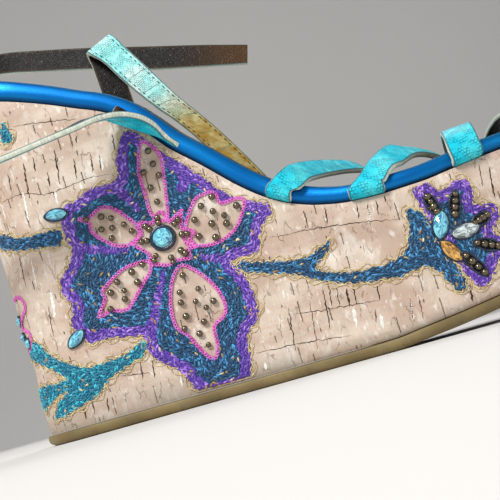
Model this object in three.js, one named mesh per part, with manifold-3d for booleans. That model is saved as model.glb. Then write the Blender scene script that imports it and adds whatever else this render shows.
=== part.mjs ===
// Platform wedge sandal, right foot, standing empty on its sole.
// Millimetres. +X points to the toe, +Y to the inner (medial) side, +Z up.
// Each length in a table is a share of the named size in its heading.
import * as THREE from "three";
import { mergeVertices } from "three/addons/utils/BufferGeometryUtils.js";
import Module from "manifold-3d";

// driving sizes
const SOLE_LENGTH = 220;       // outsole, heel to toe
const BALL_HALF = 42;          // half width at the ball of the foot
const HEEL_HEIGHT = 132;       // top of the cork under the heel
const OUTSOLE_THICK = 3.8;
const OUTSOLE_LIP = 0.9;       // outsole past the cork all round
const FOOTBED_THICK = 7.4;     // padded leather board at the waist
const BAND_BULGE = 0.9;        // its rounded edge past the cork
const SOCK_THICK = 1.1;
const SOCK_INSET = 5;
const GAP = 0.3;               // between pieces that are glued or sewn
const CORK_HOLLOW = 0.8;       // the cork's wall is slightly hollow
const STRAP_THICK = 2;
const HEEL_LEAN = 9.6;         // the heel's back overhangs its foot
const LEAN_REACH = 62;         // the lean fades out this far from the heel's back
const ORIGIN_SHARE = 0.275;    // middle of the flat ground face

const HEEL_ROUND = 27;
const TOE_ROUND = 49;
const ROUND_POWER = 2.35;

// plan outline: share of SOLE_LENGTH | half width | centre line, shares of BALL_HALF
const PLAN = [
  [0, 0.69, 0],
  [0.14, 0.7, 0],
  [0.3, 0.69, -0.03],
  [0.42, 0.72, -0.055],
  [0.5, 0.78, -0.06],
  [0.59, 0.9, -0.04],
  [0.68, 0.98, -0.01],
  [0.76, 1, 0.01],
  [0.84, 0.99, 0.04],
  [0.93, 0.98, 0.09],
  [1, 0.97, 0.2],
];

// side view: share of SOLE_LENGTH | cork top | outsole foot, shares of HEEL_HEIGHT
const PROFILE = [
  [-0.05, 0.986, 0],
  [0, 0.976, 0],
  [0.036, 0.96, 0],
  [0.074, 0.94, 0],
  [0.113, 0.917, 0],
  [0.152, 0.891, 0],
  [0.19, 0.862, 0],
  [0.229, 0.833, 0],
  [0.266, 0.79, 0],
  [0.29, 0.745, 0],
  [0.32, 0.682, 0],
  [0.363, 0.611, 0],
  [0.415, 0.521, 0],
  [0.448, 0.474, 0],
  [0.483, 0.438, 0],
  [0.526, 0.41, 0],
  [0.573, 0.393, 0.001],
  [0.624, 0.388, 0.01],
  [0.678, 0.39, 0.02],
  [0.73, 0.4, 0.032],
  [0.787, 0.412, 0.046],
  [0.84, 0.423, 0.064],
  [0.91, 0.442, 0.092],
  [1, 0.47, 0.13],
];

// overhang of the heel's back: share of HEEL_HEIGHT | share of HEEL_LEAN
const LEAN = [
  [0, 0],
  [0.15, 0.03],
  [0.32, 0.2],
  [0.52, 0.4],
  [0.75, 0.7],
  [1, 1],
];

// footbed thickness: share of SOLE_LENGTH | share of FOOTBED_THICK
const BOARD = [
  [0, 1.15],
  [0.07, 1.11],
  [0.14, 1],
  [0.22, 0.94],
  [0.46, 0.93],
  [0.6, 0.76],
  [0.8, 0.74],
  [1, 0.7],
];

// smooth curve through the rows of a table, without overshoot
function curve(rows, column, unitIn, unitOut) {
  const x = rows.map((row) => row[0] * unitIn);
  const y = rows.map((row) => row[column] * unitOut);
  const last = x.length - 1;
  const step = x.slice(1).map((value, i) => (y[i + 1] - y[i]) / (value - x[i]));
  const slope = x.map((value, i) => {
    if (i === 0) return step[0];
    if (i === last) return step[last - 1];
    if (step[i - 1] * step[i] <= 0) return 0;
    return 2 * step[i - 1] * step[i] / (step[i - 1] + step[i]);
  });
  return (value) => {
    const at = Math.min(Math.max(value, x[0]), x[last]);
    let i = 0;
    while (i < last - 1 && at > x[i + 1]) i += 1;
    const h = x[i + 1] - x[i];
    const t = (at - x[i]) / h;
    const a = y[i] * (1 + 2 * t) * (1 - t) ** 2 + slope[i] * h * t * (1 - t) ** 2;
    const b = y[i + 1] * t * t * (3 - 2 * t) + slope[i + 1] * h * t * t * (t - 1);
    return a + b;
  };
}

const planHalf = curve(PLAN, 1, SOLE_LENGTH, BALL_HALF);
const planCentre = curve(PLAN, 2, SOLE_LENGTH, BALL_HALF);
const corkTop = curve(PROFILE, 1, SOLE_LENGTH, HEEL_HEIGHT);
const foot = curve(PROFILE, 2, SOLE_LENGTH, HEEL_HEIGHT);
const lean = curve(LEAN, 1, HEEL_HEIGHT, HEEL_LEAN);
const boardThick = curve(BOARD, 1, SOLE_LENGTH, FOOTBED_THICK);

function clamp(value, low, high) {
  return Math.min(Math.max(value, low), high);
}

function smooth(value) {
  const t = clamp(value, 0, 1);
  return t * t * (3 - 2 * t);
}

// rounding of heel and toe in plan: 0 at the tip, 1 past the round
function endRound(x) {
  const heel = clamp((HEEL_ROUND - x) / HEEL_ROUND, 0, 1);
  const toe = clamp((x - SOLE_LENGTH + TOE_ROUND) / TOE_ROUND, 0, 1);
  const reach = Math.max(heel, toe);
  return (1 - reach ** ROUND_POWER) ** (1 / ROUND_POWER);
}

// point of the plan outline; side -1 outer, +1 inner
function planPoint(x, side) {
  const at = clamp(x, 0, SOLE_LENGTH);
  return [at, planCentre(at) + side * planHalf(at) * endRound(at)];
}

// stations crowd together at heel and toe
function station(i, count) {
  return SOLE_LENGTH * (1 - Math.cos(Math.PI * i / count)) / 2;
}

// outline point moved out of the outline by `out`
function outlinePoint(x, side, out) {
  const [px, py] = planPoint(x, side);
  if (x <= 0) return [px - out, py];
  if (x >= SOLE_LENGTH) return [px + out, py];
  const step = Math.min(0.4, x / 2, (SOLE_LENGTH - x) / 2);
  const a = planPoint(x - step, side);
  const b = planPoint(x + step, side);
  const dx = b[0] - a[0];
  const dy = b[1] - a[1];
  const size = Math.hypot(dx, dy);
  return [px - side * dy / size * out, py + side * dx / size * out];
}

// the heel block leans back more the higher it goes
function leanAt(x, z) {
  return -lean(z) * (1 - smooth(x / LEAN_REACH));
}

// point and unit normal of the footbed line in side view
function bedLine(x) {
  const at = x + leanAt(x, corkTop(x));
  const slope = (corkTop(at + 0.5) - corkTop(at - 0.5));
  const size = Math.hypot(1, slope);
  return { x: at, z: corkTop(at), nx: -slope / size, nz: 1 / size };
}

// point at height h above the cork's top, h along the line's normal
function bedPoint(px, py, h) {
  const line = bedLine(px);
  return [line.x + line.nx * h, py, line.z + line.nz * h];
}

// closed solid from rings of equal count; tip rings may be flat
function ringSolid(rings) {
  const count = rings[0].length;
  const index = [];
  for (let i = 0; i < rings.length - 1; i += 1) {
    for (let j = 0; j < count; j += 1) {
      const a = i * count + j;
      const b = i * count + (j + 1) % count;
      index.push(a, b, b + count, a, b + count, a + count);
    }
  }
  return closedGeometry(rings.flat(2), index);
}

// strip with both ends capped
function cappedSolid(rings) {
  const count = rings[0].length;
  const index = [];
  for (let i = 0; i < rings.length - 1; i += 1) {
    for (let j = 0; j < count; j += 1) {
      const a = i * count + j;
      const b = i * count + (j + 1) % count;
      index.push(a, b, b + count, a, b + count, a + count);
    }
  }
  const end = (rings.length - 1) * count;
  for (let j = 1; j < count - 1; j += 1) {
    index.push(0, j + 1, j);
    index.push(end, end + j, end + j + 1);
  }
  return closedGeometry(rings.flat(2), index);
}

// merge equal points, drop collapsed triangles, turn faces outwards
function closedGeometry(points, index) {
  const raw = new THREE.BufferGeometry();
  raw.setAttribute("position", new THREE.Float32BufferAttribute(points, 3));
  raw.setIndex(index);
  const merged = mergeVertices(raw, 1e-4);
  const source = merged.index.array;
  const kept = [];
  for (let i = 0; i < source.length; i += 3) {
    const [a, b, c] = [source[i], source[i + 1], source[i + 2]];
    if (a !== b && b !== c && c !== a) kept.push(a, b, c);
  }
  const p = merged.attributes.position.array;
  let volume = 0;
  for (let i = 0; i < kept.length; i += 3) {
    const [a, b, c] = [kept[i] * 3, kept[i + 1] * 3, kept[i + 2] * 3];
    volume += p[a] * (p[b + 1] * p[c + 2] - p[b + 2] * p[c + 1])
      + p[a + 1] * (p[b + 2] * p[c] - p[b] * p[c + 2])
      + p[a + 2] * (p[b] * p[c + 1] - p[b + 1] * p[c]);
  }
  if (volume < 0) {
    for (let i = 0; i < kept.length; i += 3) {
      [kept[i + 1], kept[i + 2]] = [kept[i + 2], kept[i + 1]];
    }
  }
  merged.setIndex(kept);
  return merged;
}

// solids joined or cut
const wasm = await Module();
wasm.setup();

function toManifold(geometry) {
  return new wasm.Manifold(new wasm.Mesh({
    numProp: 3,
    vertProperties: new Float32Array(geometry.attributes.position.array),
    triVerts: new Uint32Array(geometry.index.array),
  }));
}

function fromManifold(solid) {
  const mesh = solid.getMesh();
  return closedGeometry(Array.from(mesh.vertProperties), Array.from(mesh.triVerts));
}

function cut(geometry, tools) {
  let solid = toManifold(geometry);
  for (const tool of tools) solid = solid.subtract(toManifold(tool));
  return fromManifold(solid);
}

// cork block: level share of the wall height | how far the wall stands out, share of CORK_HOLLOW
const CORK_WALL = [
  [0, -1],
  [0.03, 0],
  [0.3, -0.9],
  [0.62, -1],
  [0.96, 0],
  [1, -0.5],
];
const CORK_STATIONS = 50;

function corkPoint(x, side, level, out) {
  const [px, py] = outlinePoint(x, side, out * CORK_HOLLOW);
  const low = foot(px) + OUTSOLE_THICK + GAP;
  const line = bedLine(px);
  const z = low + level * (line.z - low);
  return [px + leanAt(px, z), py, z];
}

function corkBlock() {
  const rings = [];
  for (let i = 0; i <= CORK_STATIONS; i += 1) {
    const x = station(i, CORK_STATIONS);
    const outer = CORK_WALL.map(([level, out]) => corkPoint(x, -1, level, out));
    const inner = CORK_WALL.map(([level, out]) => corkPoint(x, 1, level, out));
    rings.push([...outer, ...inner.reverse()]);
  }
  return ringSolid(rings);
}

// outsole: height share of its thickness | stands out past the cork, share of lip
const OUTSOLE_WALL = [
  [0, -1.6],
  [0.32, 0.6],
  [0.62, 1],
  [0.94, 0.8],
  [1, 0.2],
];
const OUTSOLE_STATIONS = 44;

function outsole() {
  const rings = [];
  for (let i = 0; i <= OUTSOLE_STATIONS; i += 1) {
    const x = station(i, OUTSOLE_STATIONS);
    const wall = (side) => OUTSOLE_WALL.map(([share, out]) => {
      const [px, py] = outlinePoint(x, side, out * OUTSOLE_LIP);
      return [px, py, foot(px) + share * OUTSOLE_THICK];
    });
    rings.push([...wall(-1), ...wall(1).reverse()]);
  }
  return ringSolid(rings);
}

// footbed edge: height share of the board | stands out past the cork, share of BAND_BULGE
const BED_WALL = [
  [0, -1],
  [0.16, 0.5],
  [0.45, 1],
  [0.78, 0.55],
  [0.98, -1.2],
];
// footbed top across: share of half width | dip, share of BED_DIP
const BED_TOP = [
  [0, 1],
  [0.45, 0.7],
  [0.86, 0],
  [1, 0.1],
];
const BED_DIP = 1.3;
const BED_STATIONS = 50;
const bedDip = curve(BED_TOP, 1, 1, BED_DIP);

// point on the footbed's top; across runs from -1, outer rim, to 1, inner rim
function bedTop(x, across) {
  const rim = BED_WALL[BED_WALL.length - 1][1] * BAND_BULGE;
  const [lx, ly] = outlinePoint(x, -1, rim);
  const [mx, my] = outlinePoint(x, 1, rim);
  const share = (1 + across) / 2;
  const room = clamp(Math.abs(my - ly) / BALL_HALF, 0, 1);
  const h = boardThick(lx) + GAP - bedDip(Math.abs(across)) * room;
  return bedPoint(lx + (mx - lx) * share, ly + (my - ly) * share, h);
}

function footbed() {
  const rings = [];
  for (let i = 0; i <= BED_STATIONS; i += 1) {
    const x = station(i, BED_STATIONS);
    const wall = (side) => BED_WALL.map(([share, out]) => {
      const [px, py] = outlinePoint(x, side, out * BAND_BULGE);
      return bedPoint(px, py, GAP + share * (boardThick(px)));
    });
    const top = [-0.86, -0.45, 0, 0.45, 0.86].map((across) => bedTop(x, across));
    rings.push([...wall(-1), ...top, ...wall(1).reverse()]);
  }
  return ringSolid(rings);
}

// thin sock on the footbed, inside its rounded edge
const SOCK_STATIONS = 50;
const SOCK_ROUND = 12;         // power of its rounded ends
const SOCK_GAP = 0.45;         // the stiff sock bridges the bed's bends

function sock() {
  const rings = [];
  const share = SOCK_INSET / BALL_HALF;
  for (let i = 0; i <= SOCK_STATIONS; i += 1) {
    const turn = (1 - Math.cos(Math.PI * i / SOCK_STATIONS)) / 2;
    const x = SOCK_INSET + (SOLE_LENGTH - 2 * SOCK_INSET) * turn;
    const widths = [-1, -0.45, 0, 0.45, 1];
    const fade = Math.sqrt(clamp(1 - (2 * turn - 1) ** SOCK_ROUND, 0, 1));
    const spread = (1 - share * 1.25) * fade;
    const low = widths.map((w) => bedTop(x, w * spread));
    const normal = bedLine(x);
    const lift = (point, h) => [point[0] + normal.nx * h, point[1], point[2] + normal.nz * h];
    const bottom = low.map((point) => lift(point, SOCK_GAP));
    const top = low.map((point) => lift(point, SOCK_GAP + SOCK_THICK)).reverse();
    rings.push([...bottom, ...top]);
  }
  return ringSolid(rings);
}

const EDGE_NIP = 0.35;         // cut corner of a strap's edge, share of half its thickness

// ribbon from stations [near edge point, far edge point]
function ribbon(pairs, thick, grow = 0) {
  const points = pairs.map(([a, b]) => [new THREE.Vector3(...a), new THREE.Vector3(...b)]);
  const mids = points.map(([a, b]) => a.clone().add(b).multiplyScalar(0.5));
  const rings = points.map(([a, b], i) => {
    const before = mids[Math.max(i - 1, 0)];
    const after = mids[Math.min(i + 1, mids.length - 1)];
    const along = after.clone().sub(before).normalize();
    const across = b.clone().sub(a);
    const width = across.length() + 2 * grow;
    across.normalize();
    const normal = along.clone().cross(across).normalize();
    const half = thick / 2 + grow;
    const nip = half * EDGE_NIP;
    const at = (w, n) => mids[i].clone().addScaledVector(across, w)
      .addScaledVector(normal, n).toArray();
    const side = width / 2;
    return [
      at(-side + nip, -half), at(side - nip, -half), at(side, -half + nip), at(side, half - nip),
      at(side - nip, half), at(-side + nip, half), at(-side, half - nip), at(-side, -half + nip),
    ];
  });
  return cappedSolid(rings);
}

// smooth path through edge pairs; the pairs of hidden roots at its ends stay as they are
function smoothPairs(pairs, steps, plainStart, plainEnd) {
  const edges = [0, 1].map((k) => new THREE.CatmullRomCurve3(
    pairs.map((pair) => new THREE.Vector3(...pair[k])), false, "centripetal"));
  const result = [];
  const spans = pairs.length - 1;
  for (let i = 0; i < spans; i += 1) {
    const count = i < plainStart || i >= spans - plainEnd ? 1 : steps;
    for (let j = 0; j < count; j += 1) {
      const t = (i + j / count) / spans;
      result.push(edges.map((edge) => edge.getPoint(t).toArray()));
    }
  }
  result.push(pairs[spans]);
  return result;
}

// edge pairs from a table of both edges
function edgeRows(table) {
  return table.map((row) => [0, 3].map((k) => [
    row[k] * SOLE_LENGTH, row[k + 1] * BALL_HALF, row[k + 2] * HEEL_HEIGHT,
  ]));
}

// point beside the seam under the footbed: out past the rim, h above the cork
function seamPoint(x, side, out, h) {
  const [px, py] = outlinePoint(x, side, out);
  return bedPoint(px, py, h);
}

// strap root from the hidden tab, round the footbed's edge
// out past the rim | height over the tab, shares of STRAP_THICK
const TAB_HEIGHT = GAP + STRAP_THICK / 2;
const ROOT = [
  [-4.5, 0],
  [-2.25, 0],
  [-0.3, 0],
  [0.55, 0.08],
  [1.05, 0.45],
  [1.2, 1.1],
  [1.18, 1.9],
];
const ROOT_CUT = 5;
const BEND_LIFT = 0.95;        // for a root that bridges the bend of the cork

function rootPairs(share, side, width, lift = 0) {
  const x = share * SOLE_LENGTH;
  return ROOT.map(([out, high]) => {
    const stretch = width / 2 / Math.hypot(1, bedLine(x).nx / bedLine(x).nz);
    const reach = out * STRAP_THICK;
    const h = TAB_HEIGHT + lift + high * STRAP_THICK;
    return [seamPoint(x - stretch, side, reach, h), seamPoint(x + stretch, side, reach, h)];
  });
}

// round straps over the toes, roots as shares of SOLE_LENGTH
// name | outer root | inner root | root width | top width | rise | lean inwards
const ARCHES = [
  ["strap_toe_rear", 0.757, 0.862, 11, 11.2, 11, 1.35],
  ["strap_toe_front", 0.878, 0.921, 11, 10.5, 8.6, 1.25],
];
const ARCH_STEPS = 16;
const ARCH_POWER = 2.15;
const ARCH_IN = 0.4;           // the arch starts this far in from its root
const ARCH_UP = 2.2;
const ROOT_FADE = [0.35, 0.3]; // shares of the way across where it turns from its roots

function archStrap([, outer, inner, rootWidth, topWidth, rise, inward]) {
  const start = rootPairs(outer, -1, rootWidth);
  const end = rootPairs(inner, 1, rootWidth);
  const lift = (pair, side) => pair.map((p) => [p[0], p[1] + side * ARCH_IN, p[2] + ARCH_UP]);
  const from = lift(start[start.length - 1], 1);
  const to = lift(end[end.length - 1], -1);
  const middle = (pair) => pair[0].map((value, k) => (value + pair[1][k]) / 2);
  const a = middle(from);
  const b = middle(to);
  const planSize = Math.hypot(b[0] - a[0], b[1] - a[1]);
  const flat = [(b[1] - a[1]) / planSize, -(b[0] - a[0]) / planSize, 0];
  const half = (pair) => pair[1].map((value, k) => (value - pair[0][k]) / 2);
  const arch = [];
  for (let i = 0; i <= ARCH_STEPS; i += 1) {
    const angle = Math.PI * i / ARCH_STEPS;
    const cosine = Math.cos(angle);
    const power = 2 / ARCH_POWER;
    const even = 0.5 - 0.5 * Math.sign(cosine) * Math.abs(cosine) ** power;
    const share = even ** (1 / inward);
    const high = rise * Math.abs(Math.sin(angle)) ** power;
    const mid = a.map((value, k) => value + (b[k] - value) * share + (k === 2 ? high : 0));
    const turn = smooth(share / ROOT_FADE[0]) * smooth((1 - share) / ROOT_FADE[1]);
    const root = share < 0.5 ? half(from) : half(to);
    const across = flat.map((value, k) => value * topWidth / 2 * turn + root[k] * (1 - turn));
    arch.push([mid.map((v, k) => v - across[k]), mid.map((v, k) => v + across[k])]);
  }
  return [...start, ...arch, ...end.reverse()];
}

// slack straps over the toes: they lean forward at once and hang over the inner side
// back edge x | y | z | front edge x | y | z, shares of length, ball half, heel height
const INSTEP = {
  name: "strap_instep",
  outer: 0.466,
  inner: 0.668,
  width: 9.6,
  rows: [
    [0.473, -0.88, 0.515, 0.503, -0.9, 0.462],
    [0.493, -0.78, 0.536, 0.52, -0.83, 0.48],
    [0.52, -0.57, 0.553, 0.543, -0.65, 0.495],
    [0.553, -0.31, 0.565, 0.576, -0.39, 0.511],
    [0.586, -0.05, 0.573, 0.609, -0.14, 0.523],
    [0.622, 0.24, 0.576, 0.643, 0.12, 0.527],
    [0.652, 0.52, 0.561, 0.673, 0.43, 0.504],
    [0.668, 0.79, 0.523, 0.693, 0.72, 0.474],
    [0.664, 0.95, 0.5, 0.698, 0.93, 0.468],
    [0.65, 1.03, 0.462, 0.693, 1.03, 0.444],
  ],
};
const BALL = {
  name: "strap_ball",
  outer: 0.598,
  inner: 0.772,
  width: 12.2,
  rows: [
    [0.589, -0.96, 0.441, 0.628, -1.03, 0.415],
    [0.611, -0.89, 0.474, 0.644, -1, 0.441],
    [0.641, -0.74, 0.512, 0.67, -0.85, 0.457],
    [0.662, -0.6, 0.529, 0.693, -0.71, 0.476],
    [0.691, -0.38, 0.532, 0.72, -0.5, 0.488],
    [0.729, -0.12, 0.533, 0.752, -0.24, 0.489],
    [0.761, 0.12, 0.528, 0.779, -0.02, 0.484],
    [0.775, 0.35, 0.52, 0.791, 0.2, 0.482],
    [0.775, 0.62, 0.515, 0.797, 0.47, 0.483],
    [0.762, 0.9, 0.497, 0.797, 0.82, 0.482],
    [0.75, 1.05, 0.468, 0.797, 1.04, 0.464],
  ],
};
const SLACK_ROOT = 6;          // rows of the root that a slack strap keeps

function slackStrap({ outer, inner, width, rows }) {
  const start = rootPairs(outer, -1, width).slice(0, SLACK_ROOT);
  const end = rootPairs(inner, 1, width).slice(0, SLACK_ROOT).reverse();
  return smoothPairs([...start, ...edgeRows(rows), ...end], 2, SLACK_ROOT - 1, SLACK_ROOT - 1);
}

// inner stirrup: up from the seam, folded over, down and forward
const STIRRUP_BACK = { root: 0.247, width: 12.4 };
const STIRRUP_FRONT = { root: 0.503, width: 12 };
const REAR_LEG = [
  [0.21, 0.72, 0.95, 0.266, 0.72, 0.95],
  [0.203, 0.69, 1.06, 0.258, 0.69, 1.07],
];
const FRONT_LEG = [
  [0.224, 0.51, 1.147, 0.275, 0.51, 1.176],
  [0.258, 0.5, 1.052, 0.305, 0.5, 1.092],
  [0.305, 0.51, 0.941, 0.351, 0.51, 0.963],
  [0.33, 0.53, 0.892, 0.378, 0.53, 0.9],
  [0.36, 0.57, 0.823, 0.408, 0.57, 0.828],
  [0.401, 0.65, 0.713, 0.451, 0.65, 0.712],
  [0.438, 0.74, 0.597, 0.491, 0.74, 0.594],
  [0.462, 0.78, 0.525, 0.518, 0.78, 0.512],
];
const FOLD = { x: 0.23, y: 0.59, z: 1.191 };   // shares of length, ball half, heel height
const FOLD_RADIUS = 3.5;
const FOLD_SLOPE = 0.46;       // the fold rises towards the toe
const FOLD_HALF = 6.6;
const FOLD_STEPS = 6;
const FOLD_SLIDE = 2.4;        // the front leg starts nearer to the toe

function foldPairs() {
  const centre = [FOLD.x * SOLE_LENGTH, FOLD.y * BALL_HALF, FOLD.z * HEEL_HEIGHT];
  const size = Math.hypot(1, FOLD_SLOPE);
  const forward = [1 / size, 0, FOLD_SLOPE / size];
  const up = [-forward[2], 0, forward[0]];
  return Array.from({ length: FOLD_STEPS + 1 }, (unused, i) => {
    const angle = Math.PI * i / FOLD_STEPS;
    const out = [0, Math.cos(angle) * FOLD_RADIUS, 0];
    const slide = (i / FOLD_STEPS - 0.5) * FOLD_SLIDE;
    const mid = centre.map((v, k) => (
      v + up[k] * Math.sin(angle) * FOLD_RADIUS + out[k] + forward[k] * slide));
    return [-1, 1].map((side) => mid.map((v, k) => v + side * forward[k] * FOLD_HALF));
  });
}

function stirrupPairs() {
  const rear = rootPairs(STIRRUP_BACK.root, 1, STIRRUP_BACK.width, BEND_LIFT);
  const front = rootPairs(STIRRUP_FRONT.root, 1, STIRRUP_FRONT.width, BEND_LIFT).reverse();
  const path = [...rear, ...edgeRows(REAR_LEG), ...foldPairs(), ...edgeRows(FRONT_LEG), ...front];
  return smoothPairs(path, 2, ROOT.length - 1, ROOT.length - 1);
}

// ankle strap: lying out from the outer seam, round the heel, behind the stirrup to a free end
// first edge x | y | z | second edge x | y | z; the first edge is on top round the heel
const ANKLE = [
  [0.324, -0.81, 0.703, 0.242, -0.79, 0.795],
  [0.313, -0.9, 0.732, 0.236, -0.82, 0.803],
  [0.297, -1, 0.75, 0.228, -0.85, 0.802],
  [0.272, -1.095, 0.761, 0.215, -0.87, 0.796],
  [0.24, -1.19, 0.756, 0.2, -0.95, 0.785],
  [0.201, -1.25, 0.74, 0.176, -1.03, 0.765],
  [0.144, -1.31, 0.72, 0.13, -1.1, 0.744],
  [0.088, -1.36, 0.701, 0.077, -1.15, 0.724],
  [0.02, -1.39, 0.685, 0.012, -1.18, 0.705],
  [-0.06, -1.34, 0.7, -0.062, -1.14, 0.712],
  [-0.142, -1.1, 0.765, -0.125, -0.93, 0.745],
  [-0.2, -0.7, 0.885, -0.182, -0.63, 0.84],
  [-0.215, -0.22, 1.03, -0.205, -0.2, 0.965],
  [-0.165, 0.27, 1.19, -0.185, 0.28, 1.12],
  [-0.085, 0.63, 1.29, -0.1, 0.64, 1.225],
  [0.018, 0.79, 1.316, 0.009, 0.79, 1.242],
  [0.112, 0.8, 1.286, 0.101, 0.8, 1.21],
  [0.205, 0.78, 1.246, 0.194, 0.78, 1.17],
  [0.32, 0.75, 1.19, 0.308, 0.75, 1.109],
  [0.418, 0.71, 1.141, 0.406, 0.71, 1.065],
  [0.51, 0.7, 1.095, 0.499, 0.7, 1.029],
];
// its slanting root: both edges as shares of SOLE_LENGTH, and how far each creeps back per row
const ANKLE_ROOT = [[0.336, 0.002], [0.262, 0.004]];
const ANKLE_ROOT_ROWS = 4;

function anklePairs() {
  const root = ROOT.slice(0, ANKLE_ROOT_ROWS).map(([out, high], i) => {
    const h = TAB_HEIGHT + BEND_LIFT + high * STRAP_THICK;
    return ANKLE_ROOT.map(([share, creep]) => (
      seamPoint((share - creep * i) * SOLE_LENGTH, -1, out * STRAP_THICK, h)));
  });
  return smoothPairs([...root, ...edgeRows(ANKLE)], 3, ANKLE_ROOT_ROWS, 0);
}

// stones glued to the outer wall: name | x share of SOLE_LENGTH | z share of HEEL_HEIGHT
// half length | half width | height, mm | turn, degrees
const STONES = [
  ["stone_flower", 0.2755, 0.448, 3.4, 3.4, 2.4, 0],
  ["stone_leaf_upper", 0.1186, 0.588, 3.7, 2, 1.8, -5],
  ["stone_leaf_lower", 0.104, 0.252, 3.7, 1.8, 1.8, 35],
  ["stone_bud_upper", 0.688, 0.27, 4.6, 2.5, 2.2, 70],
  ["stone_bud_lower", 0.721, 0.239, 4.6, 2.3, 2, 5],
  ["stone_heel_upper", 0.006, 0.352, 1.7, 1.7, 1.4, 0],
  ["stone_heel_middle", 0.006, 0.305, 1.7, 1.7, 1.4, 0],
  ["stone_heel_lower", 0.016, 0.284, 1.7, 1.7, 1.4, 0],
];
// gem section: share of half size | share of height
const GEM = [
  [0.82, 0],
  [1, 0.35],
  [0.6, 0.85],
];

function wallFrame(shareX, shareZ) {
  const wantX = shareX * SOLE_LENGTH;
  const wantZ = shareZ * HEEL_HEIGHT;
  const bulge = curve(CORK_WALL, 1, 1, 1);
  const point = (x, z) => {
    const low = foot(x) + OUTSOLE_THICK + GAP;
    const level = (z - low) / (bedLine(x).z - low);
    return new THREE.Vector3(...corkPoint(x, -1, level, bulge(clamp(level, 0, 1))));
  };
  let x = wantX;
  for (let i = 0; i < 8; i += 1) x += wantX - point(x, wantZ).x;
  const centre = point(x, wantZ);
  const alongX = point(x + 0.6, wantZ).sub(point(x - 0.6, wantZ)).normalize();
  const upward = point(x, wantZ + 1).sub(point(x, wantZ - 1)).normalize();
  const normal = alongX.clone().cross(upward).normalize();
  return { centre, alongX, upward: normal.clone().cross(alongX).normalize(), normal };
}

function stone([, shareX, shareZ, halfLong, halfWide, high, turn]) {
  const frame = wallFrame(shareX, shareZ);
  const angle = turn * Math.PI / 180;
  const oval = halfLong > halfWide * 1.2;
  const sides = oval ? 10 : 12;
  const place = (a, b, h) => {
    const u = a * Math.cos(angle) - b * Math.sin(angle);
    const v = a * Math.sin(angle) + b * Math.cos(angle);
    return frame.centre.clone().addScaledVector(frame.alongX, u)
      .addScaledVector(frame.upward, v).addScaledVector(frame.normal, h).toArray();
  };
  const rings = GEM.map(([size, level]) => Array.from({ length: sides }, (unused, i) => {
    const t = 2 * Math.PI * i / sides;
    const point = oval ? 1.35 : 1;
    const a = Math.sign(Math.cos(t)) * Math.abs(Math.cos(t)) * halfLong * size;
    const b = Math.sign(Math.sin(t)) * Math.abs(Math.sin(t)) ** point * halfWide * size;
    return place(a, b, GAP + level * high);
  }));
  rings.push(Array.from({ length: sides }, () => place(0, 0, GAP + high)));
  rings.unshift(Array.from({ length: sides }, () => place(0, 0, GAP)));
  return ringSolid(rings);
}

// assembly
const group = new THREE.Group();
group.name = "platform_sandal";

function add(name, geometry, colour, roughness, metalness = 0) {
  geometry.translate(-ORIGIN_SHARE * SOLE_LENGTH, 0, 0);
  geometry.computeVertexNormals();
  const material = new THREE.MeshStandardMaterial({ color: colour, roughness, metalness });
  material.name = name;
  const mesh = new THREE.Mesh(geometry, material);
  mesh.name = name;
  group.add(mesh);
}

const STRAP_COLOUR = 0x46d8d4;
const straps = [
  ...[INSTEP, BALL].map((strap) => ({ name: strap.name, pairs: slackStrap(strap) })),
  ...ARCHES.map((row) => ({ name: row[0], pairs: archStrap(row) })),
];
const stirrup = stirrupPairs();
const ankle = anklePairs();

const pockets = [];
for (const { pairs } of straps) {
  pockets.push(ribbon(pairs.slice(0, ROOT_CUT), STRAP_THICK, GAP));
  pockets.push(ribbon(pairs.slice(-ROOT_CUT), STRAP_THICK, GAP));
}
pockets.push(ribbon(stirrup.slice(0, ROOT_CUT), STRAP_THICK, GAP));
pockets.push(ribbon(stirrup.slice(-ROOT_CUT), STRAP_THICK, GAP));
pockets.push(ribbon(ankle.slice(0, ROOT_CUT + 2), STRAP_THICK, GAP));

add("outsole", outsole(), 0x96824f, 0.8);
add("wedge", corkBlock(), 0xd7b996, 0.85);
add("footbed", cut(footbed(), pockets), 0x0a73dc, 0.35);
add("insole_sock", sock(), 0x2e211a, 0.75);
for (const { name, pairs } of straps) add(name, ribbon(pairs, STRAP_THICK), STRAP_COLOUR, 0.5);
add("stirrup", ribbon(stirrup, STRAP_THICK), STRAP_COLOUR, 0.5);
add("ankle_strap", ribbon(ankle, STRAP_THICK), STRAP_COLOUR, 0.5);
for (const row of STONES) add(row[0], stone(row), 0x5fe0ea, 0.08);

export default group;
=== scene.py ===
# %% [markdown]
# # Platform wedge sandal
# A right-foot summer sandal: a tall wedge block covered in cork sheet, embroidered with a big
# flower, a padded footbed bound in blue leather, and narrow turquoise straps. The shape comes
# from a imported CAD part. This script gives each piece a finer surface, its stitching and its look.

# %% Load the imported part
import math

import bmesh
import bpy
import numpy as np
from mathutils import Matrix, Vector


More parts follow.
